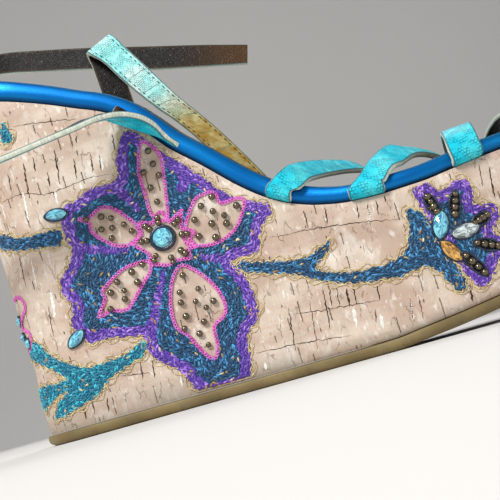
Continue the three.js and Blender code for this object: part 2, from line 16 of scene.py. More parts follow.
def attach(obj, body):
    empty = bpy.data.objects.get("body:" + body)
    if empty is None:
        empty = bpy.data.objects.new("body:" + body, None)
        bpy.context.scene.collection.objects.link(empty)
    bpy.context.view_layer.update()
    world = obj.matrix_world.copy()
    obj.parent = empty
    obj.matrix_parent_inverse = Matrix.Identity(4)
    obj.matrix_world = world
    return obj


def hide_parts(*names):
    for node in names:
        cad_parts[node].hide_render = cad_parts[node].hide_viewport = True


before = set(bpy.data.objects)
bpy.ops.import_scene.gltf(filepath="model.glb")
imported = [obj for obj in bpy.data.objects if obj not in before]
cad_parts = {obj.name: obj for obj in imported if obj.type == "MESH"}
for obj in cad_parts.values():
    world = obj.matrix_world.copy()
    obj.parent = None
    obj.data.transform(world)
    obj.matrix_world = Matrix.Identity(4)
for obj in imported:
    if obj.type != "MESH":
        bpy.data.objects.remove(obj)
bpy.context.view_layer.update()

# %% [markdown]
# ## The shoe's own sizes
# Every piece is drawn from a few named sizes in millimetres and short tables of shares of them:
# the outline of the sole from above, and its side view. Distances start at the back of the heel.
# A point is turned into metres, with the origin under the middle of the sole's flat part, at the end.

# %% Named sizes and tables
SOLE_LENGTH = 220.0       # outsole, heel to toe
BALL_HALF = 42.0          # half width at the ball
HEEL_HEIGHT = 132.0       # top of the cork under the heel
OUTSOLE_THICK = 3.8
OUTSOLE_LIP = 0.9
FOOTBED_THICK = 7.4       # padded board at the waist
BAND_BULGE = 0.9          # its rounded edge past the cork
BED_DIP = 1.3
CORK_HOLLOW = 0.8         # the cork's wall is slightly hollow
GAP = 0.3
HEEL_LEAN = 9.6           # the heel's back overhangs its foot
LEAN_REACH = 62.0         # the overhang fades out this far along
HEEL_ROUND, TOE_ROUND, ROUND_POWER = 27.0, 49.0, 2.35
STRAP_THICK = 2.0
ORIGIN = 60.5             # the frame's origin, along the sole
MM = 0.001                # one millimetre in metres
INNER_SIDE, OUTER_SIDE = 1, -1
SIDES = {OUTER_SIDE: "outer", INNER_SIDE: "inner"}
OUTLINE_POINTS, STATIONS = 4001, 201      # points of an outline and of the grids along it

# share of SOLE_LENGTH | half width | centre line, shares of BALL_HALF
PLAN = [
    (0, 0.69, 0), (0.14, 0.7, 0), (0.3, 0.69, -0.03), (0.42, 0.72, -0.055),
    (0.5, 0.78, -0.06), (0.59, 0.9, -0.04), (0.68, 0.98, -0.01), (0.76, 1, 0.01),
    (0.84, 0.99, 0.04), (0.93, 0.98, 0.09), (1, 0.97, 0.2),
]
# share of SOLE_LENGTH | cork top | outsole foot, shares of HEEL_HEIGHT
PROFILE = [
    (-0.05, 0.986, 0), (0, 0.976, 0), (0.036, 0.96, 0), (0.074, 0.94, 0), (0.113, 0.917, 0),
    (0.152, 0.891, 0), (0.19, 0.862, 0), (0.229, 0.833, 0), (0.266, 0.79, 0), (0.29, 0.745, 0),
    (0.32, 0.682, 0), (0.363, 0.611, 0), (0.415, 0.521, 0), (0.448, 0.474, 0),
    (0.483, 0.438, 0), (0.526, 0.41, 0), (0.573, 0.393, 0.001), (0.624, 0.388, 0.01),
    (0.678, 0.39, 0.02), (0.73, 0.4, 0.032), (0.787, 0.412, 0.046), (0.84, 0.423, 0.064),
    (0.91, 0.442, 0.092), (1, 0.47, 0.13),
]
# share of HEEL_HEIGHT | share of HEEL_LEAN
LEAN = [(0, 0), (0.15, 0.03), (0.32, 0.2), (0.52, 0.4), (0.75, 0.7), (1, 1)]
# share of SOLE_LENGTH | share of FOOTBED_THICK
BOARD = [(0, 1.15), (0.07, 1.11), (0.14, 1), (0.22, 0.94), (0.46, 0.93), (0.6, 0.76),
         (0.8, 0.74), (1, 0.7)]
# height share | how far the wall stands out, shares of CORK_HOLLOW, OUTSOLE_LIP, BAND_BULGE
CORK_WALL = [(0, -1), (0.03, 0), (0.3, -0.9), (0.62, -1), (0.96, 0), (1, -0.5)]
OUTSOLE_WALL = [(0, -1.6), (0.14, -0.35), (0.32, 0.6), (0.62, 1), (0.94, 0.8), (1, 0.2)]
BED_WALL = [(0, -1), (0.16, 0.5), (0.45, 1), (0.78, 0.55), (0.93, -0.3), (0.98, -1.2)]
BED_TOP = [(0, 1), (0.45, 0.7), (0.86, 0), (1, 0.1)]    # share across | share of BED_DIP


# %% [markdown]
# ## Curves through tables
# A shoemaker draws such lines with a bent lath. The same is done here with a cubic curve that
# passes through each row and never swings past it, so a flat part of the sole stays flat.

# %% Curve helper
def curve(rows, column=1, unit_in=1.0, unit_out=1.0):
    x = np.array([row[0] for row in rows], float) * unit_in
    y = np.array([row[column] for row in rows], float) * unit_out
    step = np.diff(y) / np.diff(x)
    slope = np.empty_like(y)
    slope[0], slope[-1] = step[0], step[-1]
    same = step[:-1] * step[1:] > 0
    total = np.where(same, step[:-1] + step[1:], 1)
    slope[1:-1] = np.where(same, 2 * step[:-1] * step[1:] / total, 0)

    def value(at):
        at = np.clip(np.asarray(at, float), x[0], x[-1])
        i = np.clip(np.searchsorted(x, at, side="left") - 1, 0, len(x) - 2)
        h = x[i + 1] - x[i]
        t = (at - x[i]) / h
        start = y[i] * (1 + 2 * t) * (1 - t) ** 2 + slope[i] * h * t * (1 - t) ** 2
        return start + y[i + 1] * t * t * (3 - 2 * t) + slope[i + 1] * h * t * t * (t - 1)

    return value


def smooth(value):
    t = np.clip(value, 0, 1)
    return t * t * (3 - 2 * t)


def crowded(count):
    """Shares from 0 to 1, close together at both ends, where the outline turns fast."""
    return (1 - np.cos(math.pi * np.linspace(0, 1, count))) / 2


def unit(vectors):
    return vectors / np.maximum(np.linalg.norm(vectors, axis=-1, keepdims=True), 1e-9)


plan_half = curve(PLAN, 1, SOLE_LENGTH, BALL_HALF)
plan_centre = curve(PLAN, 2, SOLE_LENGTH, BALL_HALF)
cork_top = curve(PROFILE, 1, SOLE_LENGTH, HEEL_HEIGHT)
foot = curve(PROFILE, 2, SOLE_LENGTH, HEEL_HEIGHT)
lean = curve(LEAN, 1, HEEL_HEIGHT, HEEL_LEAN)
board_thick = curve(BOARD, 1, SOLE_LENGTH, FOOTBED_THICK)
cork_bulge = curve(CORK_WALL, 1, 1, CORK_HOLLOW)
bed_bulge = curve(BED_WALL, 1, 1, BAND_BULGE)
outsole_bulge = curve(OUTSOLE_WALL, 1, 1, OUTSOLE_LIP)
bed_dip = curve(BED_TOP, 1, 1, BED_DIP)
print("top of the cork at the heel, mm:", round(float(cork_top(0)), 1))


# %% Outline of the sole and the line of the footbed
def lean_at(x, z):
    return -lean(z) * (1 - smooth(x / LEAN_REACH))


def cork_foot(x):
    return foot(x) + OUTSOLE_THICK + GAP


def bed_line(x):
    """Point and normal of the footbed line in side view: x, z, normal x, normal z."""
    at = x + lean_at(x, cork_top(x))
    slope = cork_top(at + 0.5) - cork_top(at - 0.5)      # over one millimetre
    size = np.hypot(1, slope)
    return at, cork_top(at), -slope / size, 1 / size


class Outline:
    """One side of the sole's outline, walked by distance from the back of the heel."""

    def __init__(self, side):
        x = SOLE_LENGTH * crowded(OUTLINE_POINTS)
        heel = np.clip((HEEL_ROUND - x) / HEEL_ROUND, 0, 1)
        toe = np.clip((x - SOLE_LENGTH + TOE_ROUND) / TOE_ROUND, 0, 1)
        rounding = (1 - np.maximum(heel, toe) ** ROUND_POWER) ** (1 / ROUND_POWER)
        y = plan_centre(x) + side * plan_half(x) * rounding
        dx, dy = np.gradient(x), np.gradient(y)
        dx[0], dy[0] = 0, side
        dx[-1], dy[-1] = 0, -side
        size = np.hypot(dx, dy)
        self.x, self.y = x, y
        self.out_x, self.out_y = -side * dy / size, side * dx / size
        self.s = np.concatenate([[0], np.cumsum(np.hypot(np.diff(x), np.diff(y)))])
        self.length = self.s[-1]

    def at(self, s, out=0.0):
        x, y, nx, ny = (np.interp(s, self.s, v) for v in (self.x, self.y, self.out_x, self.out_y))
        size = np.hypot(nx, ny)
        return x + nx / size * out, y + ny / size * out

    def distance(self, x):
        return np.interp(x, self.x, self.s)


OUTLINES = {side: Outline(side) for side in SIDES}


def bed_point(x, y, height):
    """Point at a height above the cork's top, measured square to it."""
    at, z, nx, nz = bed_line(x)
    return np.stack([at + nx * height, y + 0 * at, z + nz * height], axis=-1)


def wall(s, z, lift=0.0, side=OUTER_SIDE):
    """Point of the cork wall: distance s from the heel's back, height z, lifted off it."""
    s, z, lift = np.broadcast_arrays(*(np.asarray(v, float) for v in (s, z, lift)))
    outline = OUTLINES[side]
    px, py = outline.at(s)
    low = cork_foot(px)
    level = np.clip((z - low) / (bed_line(px)[1] - low), 0, 1)
    px, py = outline.at(s, cork_bulge(level) + lift)
    return np.stack([px + lean_at(px, z), py, z], axis=-1)


print("outline, mm:", {SIDES[side]: round(o.length, 1) for side, o in OUTLINES.items()})


# %% [markdown]
# ## From points to pieces
# Each surface is a grid of points. Grids that belong to one piece are joined and welded, and each
# corner keeps a texture position in millimetres, so grain and fissures have their real size.

# %% Mesh helpers
def new_object(name, data):
    made = bpy.data.objects.new(name, data)
    bpy.context.scene.collection.objects.link(made)
    return made


def one_value(values):
    """Second texture position that carries one value: a height share, a wear or a shade."""
    return np.stack([values, 0 * values], -1)


class Sheets:
    """Collects grids of quads with texture positions and a material number each."""

    def __init__(self):
        self.points, self.faces, self.uv, self.second, self.zone = [], [], [], [], []
        self.count = 0

    def add(self, grids, uv=None, second=None, zone=0, flip=False):
        """Adds one grid, or many of one size at once: count, rows, columns, 3."""
        grids = grids.reshape((-1,) + grids.shape[-3:])
        count, rows, columns = grids.shape[:3]
        index = np.arange(rows * columns).reshape(rows, columns)
        quads = np.stack([index[:-1, :-1], index[1:, :-1], index[1:, 1:], index[:-1, 1:]], -1)
        quads = quads[..., ::-1] if flip else quads
        starts = np.arange(count) * rows * columns + self.count
        self.faces.append((quads + starts[:, None, None, None]).reshape(-1, 4))
        self.points.append(grids.reshape(-1, 3))
        for kept, given in ((self.uv, uv), (self.second, second)):
            kept.append(np.zeros((grids.size // 3, 2)) if given is None else given.reshape(-1, 2))
        self.zone.append(np.broadcast_to(zone, (count, rows - 1, columns - 1)).reshape(-1))
        self.count += count * rows * columns

    def build(self, name, materials, sharp=40, weld=0.004, smooth_faces=True):
        """Makes the piece; sharp is the angle of a sharp edge, weld the reach of the welding."""
        mesh = bpy.data.meshes.new(name)
        points, faces = np.concatenate(self.points), np.concatenate(self.faces)
        mesh.from_pydata(((points - [ORIGIN, 0, 0]) * MM).tolist(), [], faces.tolist())
        corner = faces.reshape(-1)
        for label, values in (("UVMap", self.uv), ("Place", self.second)):
            layer = mesh.uv_layers.new(name=label)
            layer.data.foreach_set("uv", np.concatenate(values)[corner].astype("f").reshape(-1))
        mesh.polygons.foreach_set("material_index", np.concatenate(self.zone).astype("i"))
        mesh.polygons.foreach_set("use_smooth", [smooth_faces] * len(faces))
        for material in materials:
            mesh.materials.append(material)
        if weld:
            work = bmesh.new()
            work.from_mesh(mesh)
            bmesh.ops.remove_doubles(work, verts=work.verts, dist=weld * MM)
            bmesh.ops.recalc_face_normals(work, faces=work.faces)
            work.to_mesh(mesh)
            work.free()
        mesh.update()
        if sharp:
            mesh.set_sharp_from_angle(angle=math.radians(sharp))
        return new_object(name, mesh)


def place(piece, slot, *nodes):
    """Fixes a piece to the shoe and hides the CAD nodes it stands for; slot is not used."""
    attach(piece, "root")
    if nodes:
        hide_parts(*nodes)
    piece.data.calc_loop_triangles()
    print(piece.name, "triangles:", len(piece.data.loop_triangles))
    return piece


# %% [markdown]
# ## Colours and node helpers
# Finishes are node materials. A small helper adds one node, sets or links its inputs and gives it
# back, so each finish reads like a recipe. Colours are written as they are read off the shoe.

# %% Node helpers
def colour(red, green, blue):
    """Colour as seen on the shoe, 0 to 255, for a shader socket."""
    channels = [v / 255 for v in (red, green, blue)]
    return tuple(v / 12.92 if v < 0.04 else ((v + 0.055) / 1.055) ** 2.4 for v in channels) + (1,)


def feed(tree, sockets, values):
    """Links each value that is a socket to the input it names, and sets the others."""
    for key, value in values.items():
        if isinstance(value, bpy.types.NodeSocket):
            tree.links.new(value, sockets[key])
        else:
            sockets[key].default_value = value


def node(tree, kind, inputs=None, **settings):
    made = tree.nodes.new("ShaderNode" + kind)
    for key, value in settings.items():
        setattr(made, key, value)
    feed(tree, made.inputs, inputs or {})
    return made


def calc(tree, operation, *values, clamp=False):
    return node(tree, "Math", dict(enumerate(values)), operation=operation, use_clamp=clamp).outputs[0]


def times(tree, first, second):
    """First value times second."""
    return calc(tree, "MULTIPLY", first, second)


def plus(tree, first, second, clamp=False):
    return calc(tree, "ADD", first, second, clamp=clamp)


def rest(tree, value):
    """What is left of one."""
    return calc(tree, "SUBTRACT", 1.0, value)


def vector(tree, operation, first, second):
    return node(tree, "VectorMath", {0: first, 1: second}, operation=operation).outputs[0]


def blend(tree, factor, first, second):
    return node(tree, "Mix", {0: factor, 6: first, 7: second}, data_type="RGBA").outputs[2]


def over(tree, mask, strength, base, tone):
    """Lays a tone over a base where the mask is high."""
    return blend(tree, times(tree, mask, strength), base, tone)


# %% Pattern helpers
def step_up(tree, value, start, end):
    """0 below start, 1 above end, soft in between."""
    made = node(tree, "MapRange", {0: value, 1: start, 2: end}, interpolation_type="SMOOTHSTEP")
    return made.outputs[0]


def texture_place(tree, layer="UVMap", scale=(1, 1, 1), shift=(0, 0, 0)):
    found = node(tree, "UVMap", uv_map=layer).outputs[0]
    return node(tree, "Mapping", {0: found, 1: shift, 3: scale}).outputs[0]


def piece_value(tree, axis=0):
    """A value that the mesh carries in its second texture position."""
    return node(tree, "SeparateXYZ", {0: texture_place(tree, "Place")}).outputs[axis]


def noise(tree, place_at, scale, detail=3.0, rough=0.55):
    return node(tree, "TexNoise", {"Vector": place_at, "Scale": scale, "Detail": detail,
                                   "Roughness": rough}).outputs[0]


def stretched(tree, across, up, detail=3.0, rough=0.55, scale=1.0, shift=(0, 0, 0)):
    """Noise drawn out along one of the two texture directions."""
    return noise(tree, texture_place(tree, scale=(across, up, 1), shift=shift), scale, detail, rough)


def shaken(tree, spot, near, scale, detail, reach):
    """A texture position that wanders, so that a straight pattern comes out uneven."""
    wander = node(tree, "TexNoise", {"Vector": near, "Scale": scale, "Detail": detail}).outputs[1]
    return vector(tree, "ADD", spot, vector(tree, "MULTIPLY", wander, (reach, reach, 0)))


def clouded(tree, tone, layers):
    """Lays clouds over a tone; each layer: noise | soft step from | to | strength | its tone."""
    for clouds, start, end, strength, tint in layers:
        tone = over(tree, step_up(tree, clouds, start, end), strength, tone, tint)
    return tone


# %% Material helpers
def new_material(name):
    made = bpy.data.materials.new(name)
    made.use_nodes = True
    tree = made.node_tree
    return made, tree, tree.nodes["Principled BSDF"]


def finish_shader(tree, shader, base, roughness, height=None, depth=0.0001, **sockets):
    """Links colour, roughness and a bump of a real depth in metres to the shader."""
    feed(tree, shader.inputs, {"Base Color": base, "Roughness": roughness, **sockets})
    if height is not None:
        bump = node(tree, "Bump", {"Strength": 1.0, "Distance": depth, "Height": height})
        tree.links.new(bump.outputs[0], shader.inputs["Normal"])


# %% [markdown]
# ## Shared effects
# Leather grain and rubbed-in dirt are on several pieces, so each is made once as a node group and
# placed in every material with its own values.

# %% Effect groups
def effect_group(name, inputs, outputs):
    tree = bpy.data.node_groups.new(name, "ShaderNodeTree")
    for label, kind, value in inputs:
        socket = tree.interface.new_socket(name=label, in_out="INPUT", socket_type="NodeSocket" + kind)
        if value is not None:
            socket.default_value = value
    for label, kind in outputs:
        tree.interface.new_socket(name=label, in_out="OUTPUT", socket_type="NodeSocket" + kind)
    start, end = tree.nodes.new("NodeGroupInput"), tree.nodes.new("NodeGroupOutput")
    return tree, start.outputs, end.inputs


def grained(tree, spot, scale, creases):
    """Leather grain: its height and a slow mottle."""
    return node(tree, "Group", {"Place": spot, "Scale": scale, "Creases": creases},
                node_tree=grain_group).outputs


def dirty(tree, spot, clean, amount, scale, dirt):
    """A tone with dirt rubbed into it."""
    return node(tree, "Group", {"Place": spot, "Amount": amount, "Scale": scale, "Clean": clean,
                                "Dirt": dirt}, node_tree=grime_group).outputs["Color"]


grain_group, given, wanted = effect_group(
    "leather_grain",
    [("Place", "Vector", None), ("Scale", "Float", 1.2), ("Creases", "Float", 0.5)],
    [("Height", "Float"), ("Mottle", "Float")])
pores = node(grain_group, "TexVoronoi", {"Vector": given["Place"], "Scale": given["Scale"]},
             feature="DISTANCE_TO_EDGE").outputs["Distance"]
fine = noise(grain_group, given["Place"], 2.6, 4)
mottle = noise(grain_group, given["Place"], 0.12, 3)
humps = times(grain_group, step_up(grain_group, pores, 0.0, 0.22), 0.5)
humps = plus(grain_group, humps, times(grain_group, mottle, given["Creases"]))
humps = plus(grain_group, humps, times(grain_group, fine, 0.3))
feed(grain_group, wanted, {"Height": humps, "Mottle": mottle})

grime_group, given, wanted = effect_group(
    "rubbed_dirt",
    [("Place", "Vector", None), ("Amount", "Float", 0.3), ("Scale", "Float", 0.2),
     ("Clean", "Color", (1, 1, 1, 1)), ("Dirt", "Color", (0.2, 0.15, 0.1, 1))],
    [("Color", "Color"), ("Mask", "Float")])
cloud = noise(grime_group, given["Place"], given["Scale"], 6, 0.68)
speck = noise(grime_group, given["Place"], 1.6, 2, 0.5)
dirt_mask = plus(grime_group,
                 times(grime_group, step_up(grime_group, cloud, 0.42, 0.72), given["Amount"]),
                 times(grime_group, step_up(grime_group, speck, 0.66, 0.74), given["Amount"]), clamp=True)
soiled = blend(grime_group, dirt_mask, given["Clean"], given["Dirt"])
feed(grime_group, wanted, {"Color": soiled, "Mask": dirt_mask})
print("effects:", grain_group.name, grime_group.name)


# %% [markdown]
# ## Wedge block in cork sheet
# The block is light wood or foam, wrapped in a thin sheet of cork bark. It is a tall wall, a
# little hollow in the middle, that overhangs at the heel. The wall is a grid from the heel's back
# to the toe on each side, so the cork's own lines can follow distance and height.

# %% Cork finish
cork, tree, shader = new_material("cork_sheet")
flat_place = texture_place(tree)
cloudy = stretched(tree, 0.05, 0.08, 4)
fibre = stretched(tree, 0.9, 0.16, 5, 0.7, scale=1.6)
tone = blend(tree, step_up(tree, cloudy, 0.36, 0.66), colour(192, 168, 150), colour(218, 202, 186))
tone = clouded(tree, tone, [
    (stretched(tree, 0.06, 0.5, 5, 0.62), 0.5, 0.8, 0.55, colour(206, 164, 142)),
    (fibre, 0.52, 0.8, 0.55, colour(158, 126, 102)),
    (stretched(tree, 0.14, 0.07, shift=(31, 7, 0)), 0.56, 0.72, 0.6, colour(238, 232, 222))])
# fine upright fissures: one slit in some of the cells of a stretched pattern
cell_place = texture_place(tree, scale=(0.2, 0.085, 1))
cells = node(tree, "TexVoronoi", {"Vector": cell_place, "Scale": 1.0, "Randomness": 0.9}).outputs
apart = node(tree, "SeparateXYZ", {0: vector(tree, "SUBTRACT", cell_place, cells["Position"])}).outputs
ragged = times(tree, calc(tree, "SUBTRACT", noise(tree, flat_place, 1.3, 3), 0.5), 0.16)
across = calc(tree, "ABSOLUTE", plus(tree, apart[0], ragged))
along = calc(tree, "ABSOLUTE", apart[1])
cell_values = node(tree, "SeparateColor", {0: cells["Color"]}).outputs
slit = times(tree, rest(tree, step_up(tree, across, 0.012, 0.045)),
             calc(tree, "LESS_THAN", along, times(tree, cell_values[1], 0.34)))
slit = times(tree, slit, calc(tree, "GREATER_THAN", cell_values[0], 0.55))
tone = over(tree, slit, 0.85, tone, colour(70, 46, 30))
# short cracks that run into each other where the bark is brittle
brittle = shaken(tree, texture_place(tree, scale=(0.24, 0.09, 1)), flat_place, 0.5, 3.0, 0.5)
cracks = node(tree, "TexVoronoi", {"Vector": brittle, "Scale": 1.0}, feature="DISTANCE_TO_EDGE").outputs[0]
cracks = times(tree, rest(tree, step_up(tree, cracks, 0.004, 0.03)),
               step_up(tree, noise(tree, flat_place, 0.16, 4, 0.6), 0.48, 0.64))
tone = over(tree, cracks, 0.5, tone, colour(112, 80, 58))
# chalky patches, then small dark flecks
tone = clouded(tree, tone, [
    (stretched(tree, 0.5, 0.22, 4, 0.62, shift=(9, 4, 0)), 0.58, 0.66, 0.55, colour(244, 240, 232)),
    (stretched(tree, 1.2, 0.5, 2), 0.7, 0.76, 0.7, colour(96, 66, 44))])
low_edge = rest(tree, step_up(tree, piece_value(tree), 0.0, 0.11))
scuffed = times(tree, low_edge, step_up(tree, cloudy, 0.3, 0.62))
tone = over(tree, scuffed, 0.6, tone, colour(142, 134, 120))
tone = dirty(tree, flat_place, tone, 0.22, 0.11, colour(150, 140, 122))
raised = plus(tree, times(tree, fibre, 0.35), times(tree, stretched(tree, 0.35, 0.35), 0.3))
sunken = plus(tree, times(tree, slit, 0.8), times(tree, cracks, 0.6))
finish_shader(tree, shader, tone, 0.62, calc(tree, "SUBTRACT", raised, sunken), 0.0004,
              **{"Specular IOR Level": 0.35})


# %% Wedge surface
station_x = SOLE_LENGTH * crowded(STATIONS)


def side_walk(side):
    """Distances of the stations along one side of the outline, as a column."""
    return OUTLINES[side].distance(station_x)[:, None]


def across_sheet(edges, column, count=12):
    """Sheet that joins one column of the outer side's grid to that of the inner side."""
    first, second = edges[OUTER_SIDE][:, column], edges[INNER_SIDE][:, column]
    return first[:, None] + (second - first)[:, None] * np.linspace(0, 1, count)[None, :, None]


levels = np.concatenate([[0, 0.01, 0.03], np.linspace(0.06, 0.94, 30), [0.965, 0.985, 1]])[None, :]
wedge_sheets, wedge_sides = Sheets(), {}
for side in SIDES:
    s = side_walk(side)
    px, _ = OUTLINES[side].at(s)
    z = cork_foot(px) + levels * (bed_line(px)[1] - cork_foot(px))
    wedge_sides[side] = wall(s, z, 0.0, side)
    wedge_sheets.add(wedge_sides[side], np.stack([-side * s + 0 * z, z], -1), one_value(levels + 0 * z))
for column in (0, -1):
    flat = across_sheet(wedge_sides, column)
    wedge_sheets.add(flat, flat[..., :2])
place(wedge_sheets.build("cork_wedge", [cork], sharp=50), "cork", "wedge")


# %% [markdown]
# ## Outsole
# A thin moulded rubber plate, ochre brown, worn darker underneath. Its edge is rounded and stands
# a little past the cork, and the toe end springs up. The underside has fine ribs across the walk.

# %% Outsole finish and surface
rubber, tree, shader = new_material("ochre_rubber")
spot = texture_place(tree)
under = piece_value(tree)
tint = blend(tree, step_up(tree, noise(tree, spot, 0.08, 4), 0.35, 0.7),
             colour(116, 98, 58), colour(148, 130, 86))
tint = dirty(tree, spot, blend(tree, under, tint, colour(92, 74, 40)), 0.55, 0.16, colour(66, 58, 40))
ribs = node(tree, "TexWave", {"Vector": spot, "Scale": 0.36, "Distortion": 0.0},
            bands_direction="X").outputs[1]
tint = over(tree, times(tree, under, rest(tree, ribs)), 0.5, tint, colour(58, 46, 24))
worn_height = plus(tree, times(tree, ribs, under), times(tree, noise(tree, spot, 0.9, 5, 0.7), 0.25))
finish_shader(tree, shader, tint, 0.55, worn_height, 0.0003)

outsole_sheets, outsole_sides = Sheets(), {}
shares = np.linspace(0, 1, 13)
for side in SIDES:
    s = side_walk(side)
    px, py = OUTLINES[side].at(s, outsole_bulge(shares)[None, :])
    z = foot(px) + shares * OUTSOLE_THICK
    outsole_sides[side] = np.stack([px, py, z], -1)
    outsole_sheets.add(outsole_sides[side], np.stack([s + 0 * z, z], -1))
for column, below in ((0, 1.0), (-1, 0.0)):
    flat = across_sheet(outsole_sides, column, 16)
    outsole_sheets.add(flat, flat[..., :2], one_value(np.full(flat.shape[:2], below)))
place(outsole_sheets.build("rubber_outsole", [rubber], sharp=50), "outsole_rubber", "outsole")


# %% [markdown]
# ## Padded footbed
# A board with a thin foam pad, bound in blue leather with a metallic coat. Its edge is a soft
# roll that stands a little past the cork. Creases run along the roll where the board bends.

# %% Footbed finish and surface
blue, tree, shader = new_material("blue_metallic_leather")
spot = texture_place(tree)
toeward = step_up(tree, node(tree, "SeparateXYZ", {0: spot}).outputs[0], 150.0, 235.0)
skin = blend(tree, toeward, colour(0, 108, 186), colour(0, 104, 146))
# paler streaky clouds: painted highlights of the metallic coat
skin = clouded(tree, skin, [(stretched(tree, 0.035, 0.16, 4), 0.42, 0.72, 0.5, colour(0, 146, 214))])
rise = piece_value(tree)
top_line = times(tree, step_up(tree, rise, 0.86, 0.95), 0.75)
skin = blend(tree, top_line, skin, colour(10, 92, 100))
# darker along the bottom of the roll, where it turns in underneath: painted shade
skin = over(tree, rest(tree, step_up(tree, rise, 0.05, 0.26)), 0.75, skin, colour(6, 52, 92))
dulled = plus(tree, 0.4, times(tree, top_line, 0.6))
finish_shader(tree, shader, skin, dulled, grained(tree, spot, 1.5, 0.9)["Height"], 0.00003,
              **{"Metallic": 0.75, "Specular IOR Level": 0.3, "Coat Weight": 0.05, "Coat Roughness": 0.3})

GRAIN_SHIFT = 40.0        # so that the two sides don't show the same grain
bed_sheets, bed_sides = Sheets(), {}
rises = np.array([0, 0.05, 0.1, 0.16, 0.24, 0.34, 0.45, 0.56, 0.67, 0.78, 0.86, 0.92, 0.96, 0.98])
for side in SIDES:
    s = side_walk(side)
    px, py = OUTLINES[side].at(s, bed_bulge(rises)[None, :])
    height = GAP + rises * board_thick(px)
    bed_sides[side] = bed_point(px, py, height)
    uv = np.stack([s + 0 * height, height + GRAIN_SHIFT * (side + 1)], -1)
    bed_sheets.add(bed_sides[side], uv, one_value(rises + 0 * height))


def bed_top(x, share):
    """Top of the footbed at station x; share runs from -1, outer edge, to 1."""
    rim = BED_WALL[-1][1] * BAND_BULGE
    (lx, ly), (mx, my) = (OUTLINES[side].at(OUTLINES[side].distance(x), rim) for side in SIDES)
    room = np.clip(np.abs(my - ly) / BALL_HALF, 0, 1)
    height = board_thick(lx) + GAP - bed_dip(np.abs(share)) * room
    part = (1 + share) / 2
    return bed_point(lx + (mx - lx) * part, ly + (my - ly) * part, height)


top_share = np.concatenate([[-1], np.linspace(-0.92, 0.92, 21), [1]])
top = bed_top(station_x[:, None] + 0 * top_share, top_share + 0 * station_x[:, None])
top[:, 0], top[:, -1] = bed_sides[OUTER_SIDE][:, -1], bed_sides[INNER_SIDE][:, -1]
bed_sheets.add(top, top[..., :2], np.ones(top.shape[:2] + (2,)))
flat = across_sheet(bed_sides, 0)
bed_sheets.add(flat, flat[..., :2])
footbed = place(bed_sheets.build("padded_footbed", [blue], sharp=60), "blue_leather", "footbed")


# %% [markdown]
# ## Insole sock
# The thin leather under the foot, glued on the pad inside its rolled edge. The photo doesn't show
# it, so it is plain dark brown like the straps' lining.

# %% Sock finish and surface
sock_leather, tree, shader = new_material("sock_leather")
spot = texture_place(tree)
grain = grained(tree, spot, 0.9, 0.6)
brown = blend(tree, step_up(tree, grain["Mottle"], 0.35, 0.7), colour(44, 30, 22), colour(66, 46, 32))
brown = dirty(tree, spot, brown, 0.4, 0.06, colour(24, 18, 14))
finish_shader(tree, shader, brown, 0.55, grain["Height"], 0.00012)

SOCK_INSET, SOCK_THICK, SOCK_GAP = 5.0, 1.1, 0.45
SOCK_CORNERS = 12         # the higher, the squarer its two ends
SOCK_BEVEL = 0.07         # share of the half width that thins towards the edge
SOCK_WIDTH = 1 - SOCK_INSET / BALL_HALF * 1.25       # share of the footbed's
sock_share = crowded(121)
sock_x = SOCK_INSET + (SOLE_LENGTH - 2 * SOCK_INSET) * sock_share
fade = np.sqrt(np.clip(1 - (2 * sock_share - 1) ** SOCK_CORNERS, 0, 1)) * SOCK_WIDTH
widths = np.linspace(-1, 1, 25)
under_sock = bed_top(sock_x[:, None] + 0 * widths, widths * fade[:, None])
_, _, sock_nx, sock_nz = bed_line(sock_x)
sock_normal = np.stack([sock_nx, 0 * sock_nx, sock_nz], -1)[:, None]
crown = 1 - 0.6 * smooth((np.abs(widths) - 1 + SOCK_BEVEL) / SOCK_BEVEL)[None, :, None]
upper = under_sock + sock_normal * (SOCK_GAP + SOCK_THICK * crown)
lower = under_sock + sock_normal * SOCK_GAP
sock_sheets = Sheets()
for sheet in (upper, lower, *(np.stack([upper[:, c], lower[:, c]], 1) for c in (0, -1))):
    sock_sheets.add(sheet, sheet[..., :2])
place(sock_sheets.build("insole_sock_leather", [sock_leather]), "sock_leather", "insole_sock")


# %% [markdown]
# ## Straps
# Each strap is two thin leathers glued together: turquoise outside, stamped with small scales, and
# a dark lining. The cut edge is raw and cream. A strap is drawn as pairs of points, one on each
# edge, from its hidden end under the footbed, round the board's rim and over the foot.

# %% Strap tables
TAB_HEIGHT = GAP + STRAP_THICK / 2
BEND_LIFT = 0.95          # for a root that bridges the bend of the cork
# root: out past the rim | height over the hidden tab, shares of STRAP_THICK
ROOT = [(-4.5, 0), (-2.25, 0), (-0.3, 0), (0.55, 0.08), (1.05, 0.45), (1.2, 1.1), (1.18, 1.9)]
# round straps: name | outer root | inner root | root width | top width | rise | lean inwards
ARCHES = [
    ("strap_toe_rear", 0.757, 0.862, 11, 11.2, 11, 1.35),
    ("strap_toe_front", 0.878, 0.921, 11, 10.5, 8.6, 1.25),
]
ARCH_POWER, ARCH_ROWS = 2.15, 17
ARCH_STEP_IN, ARCH_STEP_UP = 0.4, 2.2      # from a root's last pair to the arch
ARCH_FREE = (0.35, 0.3)                    # shares at its ends that still turn with the root
# slack straps: outer root | inner root | root width
SLACK_ROOTS = {"strap_instep": (0.466, 0.668, 9.6), "strap_ball": (0.598, 0.772, 12.2)}
STIRRUP_BACK, STIRRUP_FRONT = (0.247, 12.4), (0.503, 12)      # root | width
FOLD = (0.23 * SOLE_LENGTH, 0.59 * BALL_HALF, 1.191 * HEEL_HEIGHT)
FOLD_RADIUS, FOLD_SLOPE, FOLD_HALF, FOLD_SLIDE, FOLD_ROWS = 3.5, 0.46, 6.6, 2.4, 7
ANKLE_ROOT = ((0.336, 0.002), (0.262, 0.004))    # each edge | how far it creeps back per row
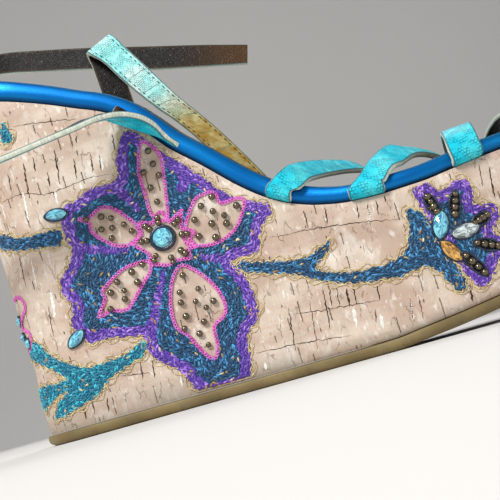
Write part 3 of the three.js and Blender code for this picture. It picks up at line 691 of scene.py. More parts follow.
# edges of the straps given row by row: first edge x | y | z | second edge x | y | z, shares of
# length, ball half and height
INSTEP = [
    (0.473, -0.88, 0.515, 0.503, -0.9, 0.462),
    (0.493, -0.78, 0.536, 0.52, -0.83, 0.48),
    (0.52, -0.57, 0.553, 0.543, -0.65, 0.495),
    (0.553, -0.31, 0.565, 0.576, -0.39, 0.511),
    (0.586, -0.05, 0.573, 0.609, -0.14, 0.523),
    (0.622, 0.24, 0.576, 0.643, 0.12, 0.527),
    (0.652, 0.52, 0.561, 0.673, 0.43, 0.504),
    (0.668, 0.79, 0.523, 0.693, 0.72, 0.474),
    (0.664, 0.95, 0.5, 0.698, 0.93, 0.468),
    (0.65, 1.03, 0.462, 0.693, 1.03, 0.444),
]
BALL = [
    (0.589, -0.96, 0.441, 0.628, -1.03, 0.415),
    (0.611, -0.89, 0.474, 0.644, -1, 0.441),
    (0.641, -0.74, 0.512, 0.67, -0.85, 0.457),
    (0.662, -0.6, 0.529, 0.693, -0.71, 0.476),
    (0.691, -0.38, 0.532, 0.72, -0.5, 0.488),
    (0.729, -0.12, 0.533, 0.752, -0.24, 0.489),
    (0.761, 0.12, 0.528, 0.779, -0.02, 0.484),
    (0.775, 0.35, 0.52, 0.791, 0.2, 0.482),
    (0.775, 0.62, 0.515, 0.797, 0.47, 0.483),
    (0.762, 0.9, 0.497, 0.797, 0.82, 0.482),
    (0.75, 1.05, 0.468, 0.797, 1.04, 0.464),
]
REAR_LEG = [
    (0.21, 0.72, 0.95, 0.266, 0.72, 0.95),
    (0.203, 0.69, 1.06, 0.258, 0.69, 1.07),
]
FRONT_LEG = [
    (0.224, 0.51, 1.147, 0.275, 0.51, 1.176),
    (0.258, 0.5, 1.052, 0.305, 0.5, 1.092),
    (0.305, 0.51, 0.941, 0.351, 0.51, 0.963),
    (0.33, 0.53, 0.892, 0.378, 0.53, 0.9),
    (0.36, 0.57, 0.823, 0.408, 0.57, 0.828),
    (0.401, 0.65, 0.713, 0.451, 0.65, 0.712),
    (0.438, 0.74, 0.597, 0.491, 0.74, 0.594),
    (0.462, 0.78, 0.525, 0.518, 0.78, 0.512),
]
ANKLE = [
    (0.324, -0.81, 0.703, 0.242, -0.79, 0.795),
    (0.313, -0.9, 0.732, 0.236, -0.82, 0.803),
    (0.297, -1, 0.75, 0.228, -0.85, 0.802),
    (0.272, -1.095, 0.761, 0.215, -0.87, 0.796),
    (0.24, -1.19, 0.756, 0.2, -0.95, 0.785),
    (0.201, -1.25, 0.74, 0.176, -1.03, 0.765),
    (0.144, -1.31, 0.72, 0.13, -1.1, 0.744),
    (0.088, -1.36, 0.701, 0.077, -1.15, 0.724),
    (0.02, -1.39, 0.685, 0.012, -1.18, 0.705),
    (-0.06, -1.34, 0.7, -0.062, -1.14, 0.712),
    (-0.142, -1.1, 0.765, -0.125, -0.93, 0.745),
    (-0.2, -0.7, 0.885, -0.182, -0.63, 0.84),
    (-0.215, -0.22, 1.03, -0.205, -0.2, 0.965),
    (-0.165, 0.27, 1.19, -0.185, 0.28, 1.12),
    (-0.085, 0.63, 1.29, -0.1, 0.64, 1.225),
    (0.018, 0.79, 1.316, 0.009, 0.79, 1.242),
    (0.112, 0.8, 1.286, 0.101, 0.8, 1.21),
    (0.205, 0.78, 1.246, 0.194, 0.78, 1.17),
    (0.32, 0.75, 1.19, 0.308, 0.75, 1.109),
    (0.418, 0.71, 1.141, 0.406, 0.71, 1.065),
    (0.51, 0.7, 1.095, 0.499, 0.7, 1.029),
]


# %% Paths of the straps
def seam_point(x, side, out, height):
    outline = OUTLINES[side]
    px, py = outline.at(outline.distance(x), out)
    return bed_point(px, py, height)


def root_pairs(share, side, width, lift=0.0):
    x = share * SOLE_LENGTH
    _, _, nx, nz = bed_line(x)
    stretch = width / 2 / math.hypot(1, nx / nz)
    pairs = []
    for out, high in ROOT:
        reach, height = out * STRAP_THICK, TAB_HEIGHT + lift + high * STRAP_THICK
        pairs.append(np.array([seam_point(x - stretch, side, reach, height),
                               seam_point(x + stretch, side, reach, height)]))
    return pairs


def edge_rows(table):
    unit = np.array([SOLE_LENGTH, BALL_HALF, HEEL_HEIGHT])
    return [np.array([np.array(row[:3]) * unit, np.array(row[3:]) * unit]) for row in table]


def arch_pairs(outer, inner, root_width, top_width, rise, inward):
    start = root_pairs(outer, OUTER_SIDE, root_width)
    end = root_pairs(inner, INNER_SIDE, root_width)
    first = start[-1] + [0, ARCH_STEP_IN, ARCH_STEP_UP]
    last = end[-1] + [0, -ARCH_STEP_IN, ARCH_STEP_UP]
    a, b = first.mean(0), last.mean(0)
    reach = math.hypot(b[0] - a[0], b[1] - a[1])
    flat = np.array([(b[1] - a[1]) / reach, -(b[0] - a[0]) / reach, 0])
    power = 2 / ARCH_POWER
    arch = []
    for turn in np.linspace(0, math.pi, ARCH_ROWS):
        cosine = math.cos(turn)
        even = 0.5 - 0.5 * math.copysign(abs(cosine) ** power, cosine)
        share = even ** (1 / inward)
        middle = a + (b - a) * share + [0, 0, rise * abs(math.sin(turn)) ** power]
        free = float(smooth(share / ARCH_FREE[0]) * smooth((1 - share) / ARCH_FREE[1]))
        root = (first[1] - first[0]) / 2 if share < 0.5 else (last[1] - last[0]) / 2
        half = flat * top_width / 2 * free + root * (1 - free)
        arch.append(np.array([middle - half, middle + half]))
    return start + arch + end[::-1]


def slack_pairs(name, table):
    outer, inner, width = SLACK_ROOTS[name]
    return (root_pairs(outer, OUTER_SIDE, width)[:-1] + edge_rows(table)
            + root_pairs(inner, INNER_SIDE, width)[-2::-1])


def stirrup_pairs():
    size = math.hypot(1, FOLD_SLOPE)
    forward = np.array([1 / size, 0, FOLD_SLOPE / size])
    up = np.array([-forward[2], 0, forward[0]])
    fold = []
    for turn in np.linspace(0, math.pi, FOLD_ROWS):
        slide = (turn / math.pi - 0.5) * FOLD_SLIDE
        middle = (np.array(FOLD) + up * math.sin(turn) * FOLD_RADIUS
                  + [0, math.cos(turn) * FOLD_RADIUS, 0] + forward * slide)
        fold.append(np.array([middle - forward * FOLD_HALF, middle + forward * FOLD_HALF]))
    rear, front = (root_pairs(share, INNER_SIDE, width, BEND_LIFT)
                   for share, width in (STIRRUP_BACK, STIRRUP_FRONT))
    return rear + edge_rows(REAR_LEG) + fold + edge_rows(FRONT_LEG) + front[::-1]


def ankle_pairs():
    root = []
    for i, (out, high) in enumerate(ROOT[:4]):
        height = TAB_HEIGHT + BEND_LIFT + high * STRAP_THICK
        root.append(np.array([seam_point((share - creep * i) * SOLE_LENGTH, OUTER_SIDE,
                                         out * STRAP_THICK, height) for share, creep in ANKLE_ROOT]))
    return root + edge_rows(ANKLE)


def between(t, knots, i, j, first, second):
    return ((knots[j] - t) / (knots[j] - knots[i]) * first
            + (t - knots[i]) / (knots[j] - knots[i]) * second)


def smooth_path(points, spacing):
    """Smooth curve through points or pairs of points, sampled at an even spacing."""
    points = np.asarray(points, float)
    flat = points.reshape(len(points), -1)
    knots = np.concatenate([[0], np.cumsum(np.sqrt(np.linalg.norm(np.diff(flat, axis=0), axis=1)) + 1e-6)])
    padded = np.concatenate([[2 * flat[0] - flat[1]], flat, [2 * flat[-1] - flat[-2]]])
    times_at = np.concatenate([[2 * knots[0] - knots[1]], knots, [2 * knots[-1] - knots[-2]]])
    dense = []
    for i in range(1, len(padded) - 2):
        t = np.linspace(times_at[i], times_at[i + 1], 24, endpoint=False)[:, None]
        p, k = padded[i - 1:i + 3], times_at[i - 1:i + 3]
        for reach in (1, 2):
            p = [between(t, k, j, j + reach, p[j], p[j + 1]) for j in range(4 - reach)]
        dense.append(between(t, k, 1, 2, *p))
    dense = np.concatenate(dense + [flat[-1:]])
    middle = dense.reshape((-1,) + points.shape[1:])
    middle = middle.mean(1) if middle.ndim == 3 else middle
    walked = np.concatenate([[0], np.cumsum(np.linalg.norm(np.diff(middle, axis=0), axis=1))])
    count = max(2, int(round(walked[-1] / spacing)) + 1)
    even = np.linspace(0, walked[-1], count)
    found = np.stack([np.interp(even, walked, dense[:, k]) for k in range(dense.shape[1])], -1)
    return found.reshape((count,) + points.shape[1:]), even


# %% [markdown]
# ## Strap finishes
# The turquoise skin has rows of small scales with dark gaps, lighter and rubbed in patches. The
# cut edge shows pale fibres. The lining is smooth, dark and worn glossy.

# %% Turquoise scales, cut edge and lining
EDGE_SHADE = colour(0, 84, 96)


def scale_leather(name, deep, rubbed_tone, gap_tone):
    """Printed leather: rows of little scales with dark gaps, rubbed paler in patches."""
    material, tree, shader = new_material(name)
    spot = texture_place(tree)
    scales = node(tree, "TexBrick", {"Vector": shaken(tree, spot, spot, 0.35, 2.0, 1.3),
                                     "Color1": (1, 1, 1, 1), "Color2": (0.8, 0.8, 0.8, 1),
                                     "Mortar": (0, 0, 0, 1), "Scale": 1.0, "Mortar Size": 0.12,
                                     "Mortar Smooth": 0.5, "Brick Width": 1.15, "Row Height": 0.8},
                  offset=0.5)
    gap = times(tree, scales.outputs["Fac"], step_up(tree, noise(tree, spot, 0.3, 4, 0.6), 0.38, 0.6))
    aqua = blend(tree, step_up(tree, noise(tree, spot, 0.07, 3), 0.42, 0.66), deep, rubbed_tone)
    aqua = over(tree, gap, 0.85, aqua, gap_tone)
    tan = blend(tree, step_up(tree, noise(tree, spot, 0.22, 4), 0.35, 0.62),
                colour(206, 190, 128), colour(184, 146, 58))
    aqua = blend(tree, piece_value(tree), aqua, tan)
    aqua = over(tree, step_up(tree, piece_value(tree, 1), 0.5, 0.95), 0.75, aqua, EDGE_SHADE)
    relief = calc(tree, "SUBTRACT", times(tree, stretched(tree, 0.25, 0.6, 4, 0.6), 1.1), gap)
    finish_shader(tree, shader, aqua, 0.45, relief, 0.00018, **{"Specular IOR Level": 0.3})
    return material


toe_skin = scale_leather("turquoise_scale_leather",
                         colour(0, 204, 228), colour(92, 234, 238), colour(0, 100, 128))
pale_skin = scale_leather("rubbed_scale_leather",
                          colour(158, 242, 238), colour(222, 250, 242), colour(40, 140, 150))

raw_edge, tree, shader = new_material("raw_cut_edge")
fibres = stretched(tree, 3, 0.8, 5, 0.75, scale=1.6)
cream = blend(tree, step_up(tree, fibres, 0.35, 0.7), colour(190, 206, 186), colour(252, 250, 236))
cream = over(tree, step_up(tree, piece_value(tree, 1), 0.3, 0.9), 0.85, cream, EDGE_SHADE)
finish_shader(tree, shader, cream, 0.85, fibres, 0.0002)

lining, tree, shader = new_material("dark_lining")
worn = stretched(tree, 0.5, 0.12, 5, 0.65)
brown = blend(tree, step_up(tree, worn, 0.46, 0.74), colour(6, 4, 3), colour(30, 20, 12))
brown = over(tree, piece_value(tree, 1), 0.7, brown, colour(88, 58, 22))
gloss = plus(tree, 0.26, times(tree, worn, 0.3))
finish_shader(tree, shader, brown, gloss, grained(tree, texture_place(tree), 1.1, 0.8)["Height"], 0.00018,
              **{"Specular IOR Level": 0.25, "Coat Weight": 0.05, "Coat Roughness": 0.2})


# %% [markdown]
# ## Strap bodies
# A strap's section is a flat oval: slightly domed outside, with rounded cut edges. The section is
# swept along the pairs, so the strap twists with its edges as real leather does.

# %% Strap builder
FACE_POINTS, EDGE_POINTS = 15, 5           # points across a face and round a cut edge
UNDERSIDE = slice(FACE_POINTS + EDGE_POINTS, 2 * FACE_POINTS + EDGE_POINTS)
EDGE_BULGE, DOME, STRAP_STEP = 0.45, 0.12, 0.7
SKIN, RAW, LINED = 0, 1, 2


def strap_section():
    """Ring of the section: reach across | bulge past the edge | height | 1 on a cut edge."""
    half = STRAP_THICK / 2
    across, turns = np.linspace(-1, 1, FACE_POINTS), np.linspace(0, math.pi, EDGE_POINTS + 2)[1:-1]
    ring = [(w, 0.0, half + DOME * (1 - w * w), 0) for w in across]
    ring += [(1, EDGE_BULGE * math.sin(turn), half * math.cos(turn), 1) for turn in turns]
    ring += [(w, 0.0, -half, 0) for w in across[::-1]]
    ring += [(-1, -EDGE_BULGE * math.sin(turn), half * math.cos(turn), 1) for turn in turns[::-1]]
    return np.array(ring + ring[:1])


def strap_piece(name, pairs, outer_normal, skin, tan=None, golden=None):
    """
    Sweeps the section along the pairs. outer_normal, 1 or -1, turns the turquoise face out. tan and
    golden say how far the skin turns yellowish tan, and the lining golden, at each share of the length.
    """
    path, walked = smooth_path(pairs, STRAP_STEP)
    middle = path.mean(1)
    width = np.linalg.norm(path[:, 1] - path[:, 0], axis=1)
    across = unit(path[:, 1] - path[:, 0])
    normal = outer_normal * unit(np.cross(unit(np.gradient(middle, axis=0)), across))
    ring = strap_section()
    offset = ring[:, 0] * (width[:, None] / 2 - EDGE_BULGE) + ring[:, 1]
    grid = middle[:, None] + across[:, None] * offset[..., None] + normal[:, None] * ring[:, 2, None]
    uv = np.stack([offset, walked[:, None] + 0 * offset], -1)
    share = walked / walked[-1]
    rim = np.where(ring[:, 3] == 1, np.clip(2 * ring[:, 2] / STRAP_THICK, -1, 1) ** 2, ring[:, 0] ** 12)
    second = np.stack([0 * offset, rim + 0 * offset], -1)
    if tan is not None:
        second[..., 0] = tan(share)[:, None]
    if golden is not None:
        second[:, UNDERSIDE, 1] = np.maximum(golden(share)[:, None], rim[UNDERSIDE])
    zone = np.full(len(ring) - 1, RAW)
    zone[:FACE_POINTS - 1] = SKIN
    zone[UNDERSIDE][:-1] = LINED
    sheets = Sheets()
    sheets.add(grid, uv, second, zone=zone)
    for end in (0, -1):
        cap = np.stack([grid[end], np.repeat(middle[end][None], len(ring), 0)], 0)
        sheets.add(cap, np.stack([uv[end], uv[end]], 0), zone=RAW)
    made = sheets.build(name, [skin, raw_edge, lining], sharp=55, weld=0.003)
    return made, (middle, across, normal, width, walked)


toe_straps = {name: arch_pairs(*row) for name, *row in ARCHES}
for name, table in (("strap_instep", INSTEP), ("strap_ball", BALL)):
    toe_straps[name] = slack_pairs(name, table)
for name, pairs in toe_straps.items():
    place(strap_piece(name + "_leather", pairs, -1, toe_skin)[0], "strap_leather", name)
stirrup, stirrup_line = strap_piece("stirrup_leather", stirrup_pairs(), 1, pale_skin,
                                    tan=lambda share: smooth((share - 0.49) / 0.14))
place(stirrup, "strap_leather", "stirrup")
ankle_strap, _ = strap_piece("ankle_strap_leather", ankle_pairs(), 1, toe_skin,
                             golden=lambda share: smooth((share - 0.9) / 0.1))
place(ankle_strap, "strap_leather", "ankle_strap")


# %% [markdown]
# ## Plan of the embroidery
# The ornament is a flower with five petals, a bud on a forked stem, and leaves. It is drawn on the
# flat pattern of the cork sheet, in millimetres: distance from the heel's back, then height. Each
# outline has only its turning points, and a round curve is laid through them, as a needle would go.

# %% Ornament outlines
FLOWER_HEART = (79, 59)
FLOWER_EDGE = [
    (77, 100), (71, 92), (69, 84), (61, 83.5), (55, 81), (49, 78.5), (48, 70), (48.5, 62), (42, 53),
    (44, 44.5), (42, 38), (46, 31), (53, 30.5), (59.5, 29), (64, 27.5), (65.5, 20.5), (73.5, 13),
    (77, 6), (79.5, 3), (94, 3), (97.5, 10), (98.5, 18), (104, 24), (104.5, 31), (102.5, 40),
    (100, 44.5), (109.5, 45.5), (113.5, 53), (118.5, 58.5), (107, 65.5), (101, 72), (96.5, 78),
    (90, 85), (87, 88.5),
]
PETALS = {
    "upper": [(80.5, 94.5), (77, 84.5), (77, 76), (77.5, 68), (82, 65), (84, 73), (85, 80),
              (85.5, 88.5)],
    "right": [(87.5, 60.5), (93, 68.5), (97.5, 70), (101, 69), (102, 65), (108, 65), (110, 62.5),
              (104.5, 55), (96, 52), (87, 54.5)],
    "left": [(53.5, 74), (57, 73.5), (61, 75.5), (65, 74.5), (71, 67), (71.5, 62.5), (68.5, 60),
             (62.5, 61.5), (57, 67.5), (56.5, 71.5)],
    "rear": [(72.5, 52.5), (68, 53), (62.5, 52), (55, 47), (55, 44), (51.5, 38.5), (56, 39.5),
             (61.5, 38.5), (68.5, 45.5), (72, 49)],
    "foot": [(82.5, 48), (79, 44.5), (76.5, 38.5), (75.5, 32.5), (76, 27.5), (79, 24), (83, 16.5),
             (86, 14), (88, 18), (88.5, 24.5), (92.5, 27), (94, 30.5), (93, 36), (90, 41.5), (86, 46)],
}
# points and hollows of the star round the heart: turn in degrees | reach
STAR = [(78, 9.8), (53, 6.2), (41, 12), (16, 7.4), (-5, 11.5), (-17, 9.3), (-30, 12.5), (-38, 9.5),
        (-50, 12.4), (-72, 9.3), (-94, 9.8), (-125, 9.6), (-148, 7.2), (172, 10.9), (152, 7.4),
        (130, 10.5), (108, 6.4), (94, 8.6)]
# purple wedges between the petals: wide end | narrow end | half width at the wide end
TONGUES = [((67, 84), (73.5, 71), 2.4), ((48, 65), (66.5, 58), 2.2), ((65, 25), (76.5, 48), 2.4),
           ((101, 44.5), (90, 49), 2.2), ((96, 83), (89.5, 73), 4.5)]
STEM_LEFT = [(24, 78), (30, 75), (36, 73), (46, 72.5), (47, 71), (45.5, 67), (36, 68.5), (29.5, 70),
             (20.5, 74)]
STEM_RIGHT = [
    (103, 43.5), (109, 41.5), (119.5, 39), (126.5, 38.5), (133, 41), (134.5, 41), (132.5, 38), (127, 34),
    (134.5, 30), (142.5, 28.5), (151.5, 28.5), (157.5, 31), (161, 38), (161.5, 43.5), (166.5, 41),
    (168.5, 35), (170, 28), (173, 16.5), (171.5, 13.5), (169.5, 13.5), (163.5, 23.5), (153.5, 23),
    (145.5, 24), (137.5, 25.5), (129.5, 28.5), (118, 34.5), (103, 40),
]
BUD = [
    (165.5, 48.5), (167, 50), (170.5, 50.5), (174, 46.5), (179.5, 48.5), (183, 48), (184.5, 44),
    (183.5, 39.5), (189.5, 38), (190.5, 34), (186.5, 29), (190, 25.5), (190, 22), (186, 20),
    (182.5, 16), (178.5, 12.5), (175.5, 14.5), (172, 23), (170, 27), (169.5, 32.5), (166.5, 42),
]
BUD_SEEDS = [((169, 46.5), (171, 39.5)), ((178.5, 45), (176, 37)), ((181, 33), (187, 35)),
             ((179.5, 27), (187.5, 23.5)), ((175, 24.5), (180, 16))]
LEAF_LEFT = [
    (23.5, 37.5), (32.5, 29), (43, 23), (56, 23.5), (64, 26.5), (63, 22), (50.5, 17.5), (44.5, 13),
    (35, 10), (25.5, 9), (28.5, 13.5), (34, 17), (22, 14), (17.5, 12.5), (12.5, 20.5), (32.5, 20.5),
    (34, 22), (25.5, 28), (13, 34),
]
LEAF_SMALL = [(39.5, 116), (41, 111), (41.5, 108.5), (37.5, 108.5)]
CURL = [(17, 54), (22, 54.5), (25, 52), (25, 49.5), (18, 45.5), (17, 43.5), (22.5, 41), (23, 38.5),
        (21, 36), (15, 34.5)]
# pairs of beads round the heart: turn in degrees | reach
RING_BEADS = [(90, 6.6), (35, 7.4), (-5, 7.8), (-49, 8.8), (-81, 8.4), (-125, 7.4), (174, 6.4),
              (129, 6.4)]
PETAL_BEADS = [
    (82, 90.5), (82.5, 85.5), (78.5, 83.5), (83.5, 81), (79.5, 77.5), (80.5, 72), (99.5, 68), (95, 66),
    (98.5, 63), (91.5, 62), (102, 60.5), (97, 59), (102, 57.5), (107, 62.5), (91.5, 56), (97, 54),
    (56, 73), (61, 72.5), (64, 71), (67.5, 67.5), (60, 68), (63.5, 67.5), (69.5, 64.5), (62.5, 64),
    (70, 52), (66, 50.5), (60.5, 48.5), (67, 46.5), (62, 45), (57.5, 45.5), (61.5, 42), (56, 40),
    (82.5, 44.5), (86.5, 38.5), (80, 39), (79.5, 35.5), (84.5, 34.5), (90.5, 33), (87.5, 31.5),
    (80, 30.5), (85.5, 27), (78.5, 26.5), (83, 23.5), (85, 19),
]


# %% [markdown]
# ## Drawing on the cork sheet
# Small helpers do the drawing: a round closed curve through turning points, the test whether a
# point lies inside one, the nearest place on it, and a thread: a thin tube that follows a line.

# %% Drawing helpers
PROBE = 0.3               # reach of the steps that feel the directions on the wall
WALK_STEP = 0.3           # texture length of one point of a thread
chance = np.random.default_rng(7)


def even_steps(line, spacing):
    walked = np.concatenate([[0], np.cumsum(np.linalg.norm(np.diff(line, axis=0), axis=1))])
    even = np.linspace(0, walked[-1], max(3, int(walked[-1] / spacing) + 1))
    return np.stack([np.interp(even, walked, line[:, k]) for k in (0, 1)], -1)


def loop_path(points, spacing=0.5):
    """Closed round curve through turning points."""
    here = np.asarray(points, float)
    before, after, later = np.roll(here, 1, 0), np.roll(here, -1, 0), np.roll(here, -2, 0)
    t = np.linspace(0, 1, 12, endpoint=False)[:, None, None]
    curved = 0.5 * (2 * here + (after - before) * t + (2 * before - 5 * here + 4 * after - later) * t ** 2
                    + (3 * here - before - 3 * after + later) * t ** 3)
    line = curved.transpose(1, 0, 2).reshape(-1, 2)
    return even_steps(np.concatenate([line, line[:1]]), spacing)


def inside(spots, line):
    x, y = spots[:, 0][:, None], spots[:, 1][:, None]
    x0, y0, x1, y1 = line[:-1, 0], line[:-1, 1], line[1:, 0], line[1:, 1]
    crosses = (y0 > y) != (y1 > y)
    rise = np.where(np.abs(y1 - y0) < 1e-9, 1e-9, y1 - y0)
    return (np.sum(crosses & (x < x0 + (y - y0) * (x1 - x0) / rise), axis=1) % 2).astype(bool)


def nearest(spots, line):
    """Distance to a line and the line's direction there."""
    squares = ((spots[:, None] - line[None]) ** 2).sum(-1)
    found = squares.argmin(1)
    way = np.gradient(line, axis=0)[found]
    return np.sqrt(squares.min(1)), np.arctan2(way[:, 1], way[:, 0])


def left_of(line):
    """Unit steps to the left of a line on the sheet."""
    way = unit(np.gradient(line, axis=0))
    return np.stack([-way[:, 1], way[:, 0]], -1)


def wall_frame(spots, side, lift):
    """Points on the cork with the directions along the sheet, up it and out of it."""
    s, z = spots[..., 0], spots[..., 1]
    here = wall(s, z, lift, side)
    along = wall(s + PROBE, z, lift, side) - wall(s - PROBE, z, lift, side)
    upward = wall(s, z + PROBE, lift, side) - wall(s, z - PROBE, lift, side)
    return here, unit(along), unit(upward), unit(wall(s, z, lift + PROBE, side) - here)


def tube(points, outward, radius, turns, flatten=1.0, thin=1.0):
    """Grid of a thin tube round a line; flatten is its height's share, thin its taper."""
    beside = np.cross(unit(np.gradient(points, axis=0)), outward)
    ring = (np.cos(turns)[:, None] * beside[:, None]
            + flatten * np.sin(turns)[:, None] * outward[:, None])
    return points[:, None] + radius * thin * ring


def thread(sheets, line, side, radius, lift, zone=0, corners=5):
    """A thin tube that follows a line on the cork."""
    middle, _, _, out = wall_frame(line, side, lift)
    turns = np.linspace(0, 2 * math.pi, corners + 1)
    walked = np.arange(len(line))[:, None] * WALK_STEP + 0 * turns
    # tone of each point: partly the thread's own, partly a painted highlight of its gloss
    shade = chance.uniform(0, 1, (len(line), 1)) + 0 * walked
    sheets.add(tube(middle, out, radius, turns), np.stack([turns + 0 * walked, walked], -1),
               one_value(shade), zone=zone)


def wavy(line, width, length, start=0.0, rough=0.0):
    """A line that swings from side to side, as a couched or chained thread does."""
    step = np.linalg.norm(np.diff(line, axis=0), axis=1).mean()
    swing = width * np.sin(2 * math.pi * np.arange(len(line)) * step / length + start)
    swing += rough * chance.normal(size=len(line))
    return line + left_of(line) * swing[:, None]


def round_heart(turn, reach):
    """Spot at a turn and a reach from the middle of the flower."""
    return (FLOWER_HEART[0] + reach * math.cos(math.radians(turn)),
            FLOWER_HEART[1] + reach * math.sin(math.radians(turn)))


# %% [markdown]
# ## Thread, bead and foil finishes
# Rayon thread is glossy; each stitch gets its tone between dark and light, partly the thread's own
# and partly a painted highlight of its gloss. The seed beads are dark pewter glass with painted warm
# reflections. The big stones are cut glass on foil, drawn as a clear-coated body whose facets each
# get a random brightness between deep and pale: painted glints.

# %% Thread and bead finishes
def thread_material(name, dark, light, gloss=0.38):
    material, tree, shader = new_material(name)
    twist = stretched(tree, 2.5, 2.5, 3, 0.6)
    # a stitch's tone between dark and light: partly the thread's own, partly a painted highlight of its
    # gloss; on the cork's fissures and filler only their own uneven tone
    shade = plus(tree, times(tree, piece_value(tree), 0.8), times(tree, twist, 0.25), clamp=True)
    finish_shader(tree, shader, blend(tree, shade, dark, light), gloss, twist, 0.0001)
    return material


navy_thread = thread_material("navy_thread", colour(0, 20, 58), colour(84, 176, 236))
purple_thread = thread_material("purple_thread", colour(52, 8, 146), colour(204, 156, 255))
teal_thread = thread_material("teal_thread", colour(0, 84, 122), colour(70, 220, 236))
pink_thread = thread_material("pink_thread", colour(190, 8, 138), colour(255, 146, 238))
gold_thread = thread_material("gold_thread", colour(150, 108, 48), colour(255, 240, 184), 0.3)
dark_setting = thread_material("dark_setting", colour(4, 10, 22), colour(44, 60, 84), 0.25)
fissure_dark = thread_material("cork_fissure", colour(24, 14, 9), colour(70, 44, 30), 0.9)
fissure_pale = thread_material("cork_filler", colour(214, 214, 208), colour(244, 242, 234), 0.8)

pewter_bead, tree, shader = new_material("pewter_bead")
spot = texture_place(tree, "Place")
# dark pewter with warm light patches: the patches are painted reflection and highlight
pewter_and_reflection = blend(tree, noise(tree, spot, 6.0, 2), colour(18, 15, 14), colour(142, 126, 98))
finish_shader(tree, shader, pewter_and_reflection, 0.16, noise(tree, spot, 9.0, 2), 0.00005,
              **{"Metallic": 0.75, "Coat Weight": 0.6, "Coat Roughness": 0.08})


# %% [markdown]
# ## Stitches
# The machine fills each field with short, crossing stitches that follow its edge loosely. So each
# field is seeded with an even, shaken grid of spots, and each spot gets one small arched stitch,
# turned along the nearest edge. A dark ground lies under them, so no cork shows between.

# %% Fields and their thread colours
NAVY, PURPLE, TEAL, GOLD, DARK, BARE = 0, 1, 2, 3, 4, -1
PURPLE_RIM = 3.7
POD_HALF, POD_LONG, POD_POINT = 1.9, 1.12, 0.3      # half width, length share, roundness
THREAD_LIFT = 0.12
LOWEST, TOP_ROOM = 5.2, 1.0        # the needle stays off the outsole and the binding
THREAD_FLOOR = LOWEST - 0.4        # and a stitch reaches a little lower than the needle
FIELDS = {"flower": FLOWER_EDGE, "bud": BUD, "stem_left": STEM_LEFT, "stem_right": STEM_RIGHT,
          "leaf_left": LEAF_LEFT, "leaf_small": LEAF_SMALL}
field_lines = {name: loop_path(points) for name, points in FIELDS.items()}
petal_lines = {name: loop_path(points, 0.3) for name, points in PETALS.items()}
star_corners = [round_heart(turn, reach) for turn, reach in STAR]
star_line = even_steps(np.array(star_corners + star_corners[:1]), 0.3)
print("points on the field outlines:", {name: len(line) for name, line in field_lines.items()})


def sheet_top(s):
    """Height up to which thread may lie, at a distance from the heel's back."""
    return bed_line(OUTLINES[OUTER_SIDE].at(s)[0])[1] - TOP_ROOM


def tongue_line(wide, narrow, half):
    wide, narrow = np.array(wide, float), np.array(narrow, float)
    beside = np.array([wide[1] - narrow[1], narrow[0] - wide[0]]) / np.linalg.norm(narrow - wide) * half
    corners = [wide + beside, narrow + beside / 3, narrow - beside / 3, wide - beside]
    return np.array(corners + corners[:1])


def pod_line(start, end):
    """Pointed oval round one seed pod of the bud."""
    start, end = np.array(start, float), np.array(end, float)
    turn = np.linspace(0, 2 * math.pi, 33)[:, None]
    along = (end - start) / 2
    beside = np.array([-along[1], along[0]]) / np.linalg.norm(along)
    bulge = np.sin(turn) * np.abs(np.sin(turn)) ** POD_POINT
    return (start + end) / 2 + along * POD_LONG * np.cos(turn) + beside * POD_HALF * bulge


def thread_zone(spots, field):
    zone = np.full(len(spots), TEAL if field.startswith("leaf") else NAVY)
    if field in ("flower", "bud"):
        zone[nearest(spots, field_lines[field])[0] < PURPLE_RIM] = PURPLE
    if field == "flower":
        for wide, narrow, half in TONGUES:
            zone[inside(spots, tongue_line(wide, narrow, half))] = PURPLE
        for line in (*petal_lines.values(), star_line):
            zone[inside(spots, line)] = BARE
    if field == "bud":
        for ends in BUD_SEEDS:
            zone[inside(spots, pod_line(*ends))] = DARK
    return zone


def field_spots(field, step, shake):
    """Grid of spots inside a field, shaken by a share of the step."""
    line = field_lines[field]
    low, high = line.min(0), line.max(0)
    ranges = (np.arange(low[k], high[k], step[k]) for k in (0, 1))
    spots = np.stack(np.meshgrid(*ranges), -1).reshape(-1, 2)
    spots = spots + chance.uniform(-shake, shake, spots.shape) * step
    spots = spots[inside(spots, line) & (spots[:, 1] > LOWEST) & (spots[:, 1] < sheet_top(spots[:, 0]))]
    zone = thread_zone(spots, field)
    return spots[zone != BARE], zone[zone != BARE]


# %% Stitches and ground
STITCH_STEP, GROUND_STEP = (1.1, 0.74), (0.8, 0.8)
STITCH_LENGTH, STITCH_WIDTH, STITCH_HIGH = (1.2, 2.0), 0.72, 0.46
STITCH_PROFILE = np.array([-1, -0.45, 0.45, 1])       # reach across: foot, two shoulders, foot
STITCH_TURN = 0.55                 # how far a stitch strays from the edge's way, radians
GLINT = 0.03                       # share of the stitches that are gold
# light stitches are partly painted highlights of the glossy thread
HIGHLIGHT_RARITY = 4.5                  # the higher, the fewer stitches are light


def facing(grids, side):
    """Grids drawn for the outer side are turned over for the inner one."""
    return grids if side == OUTER_SIDE else grids[:, :, ::-1]


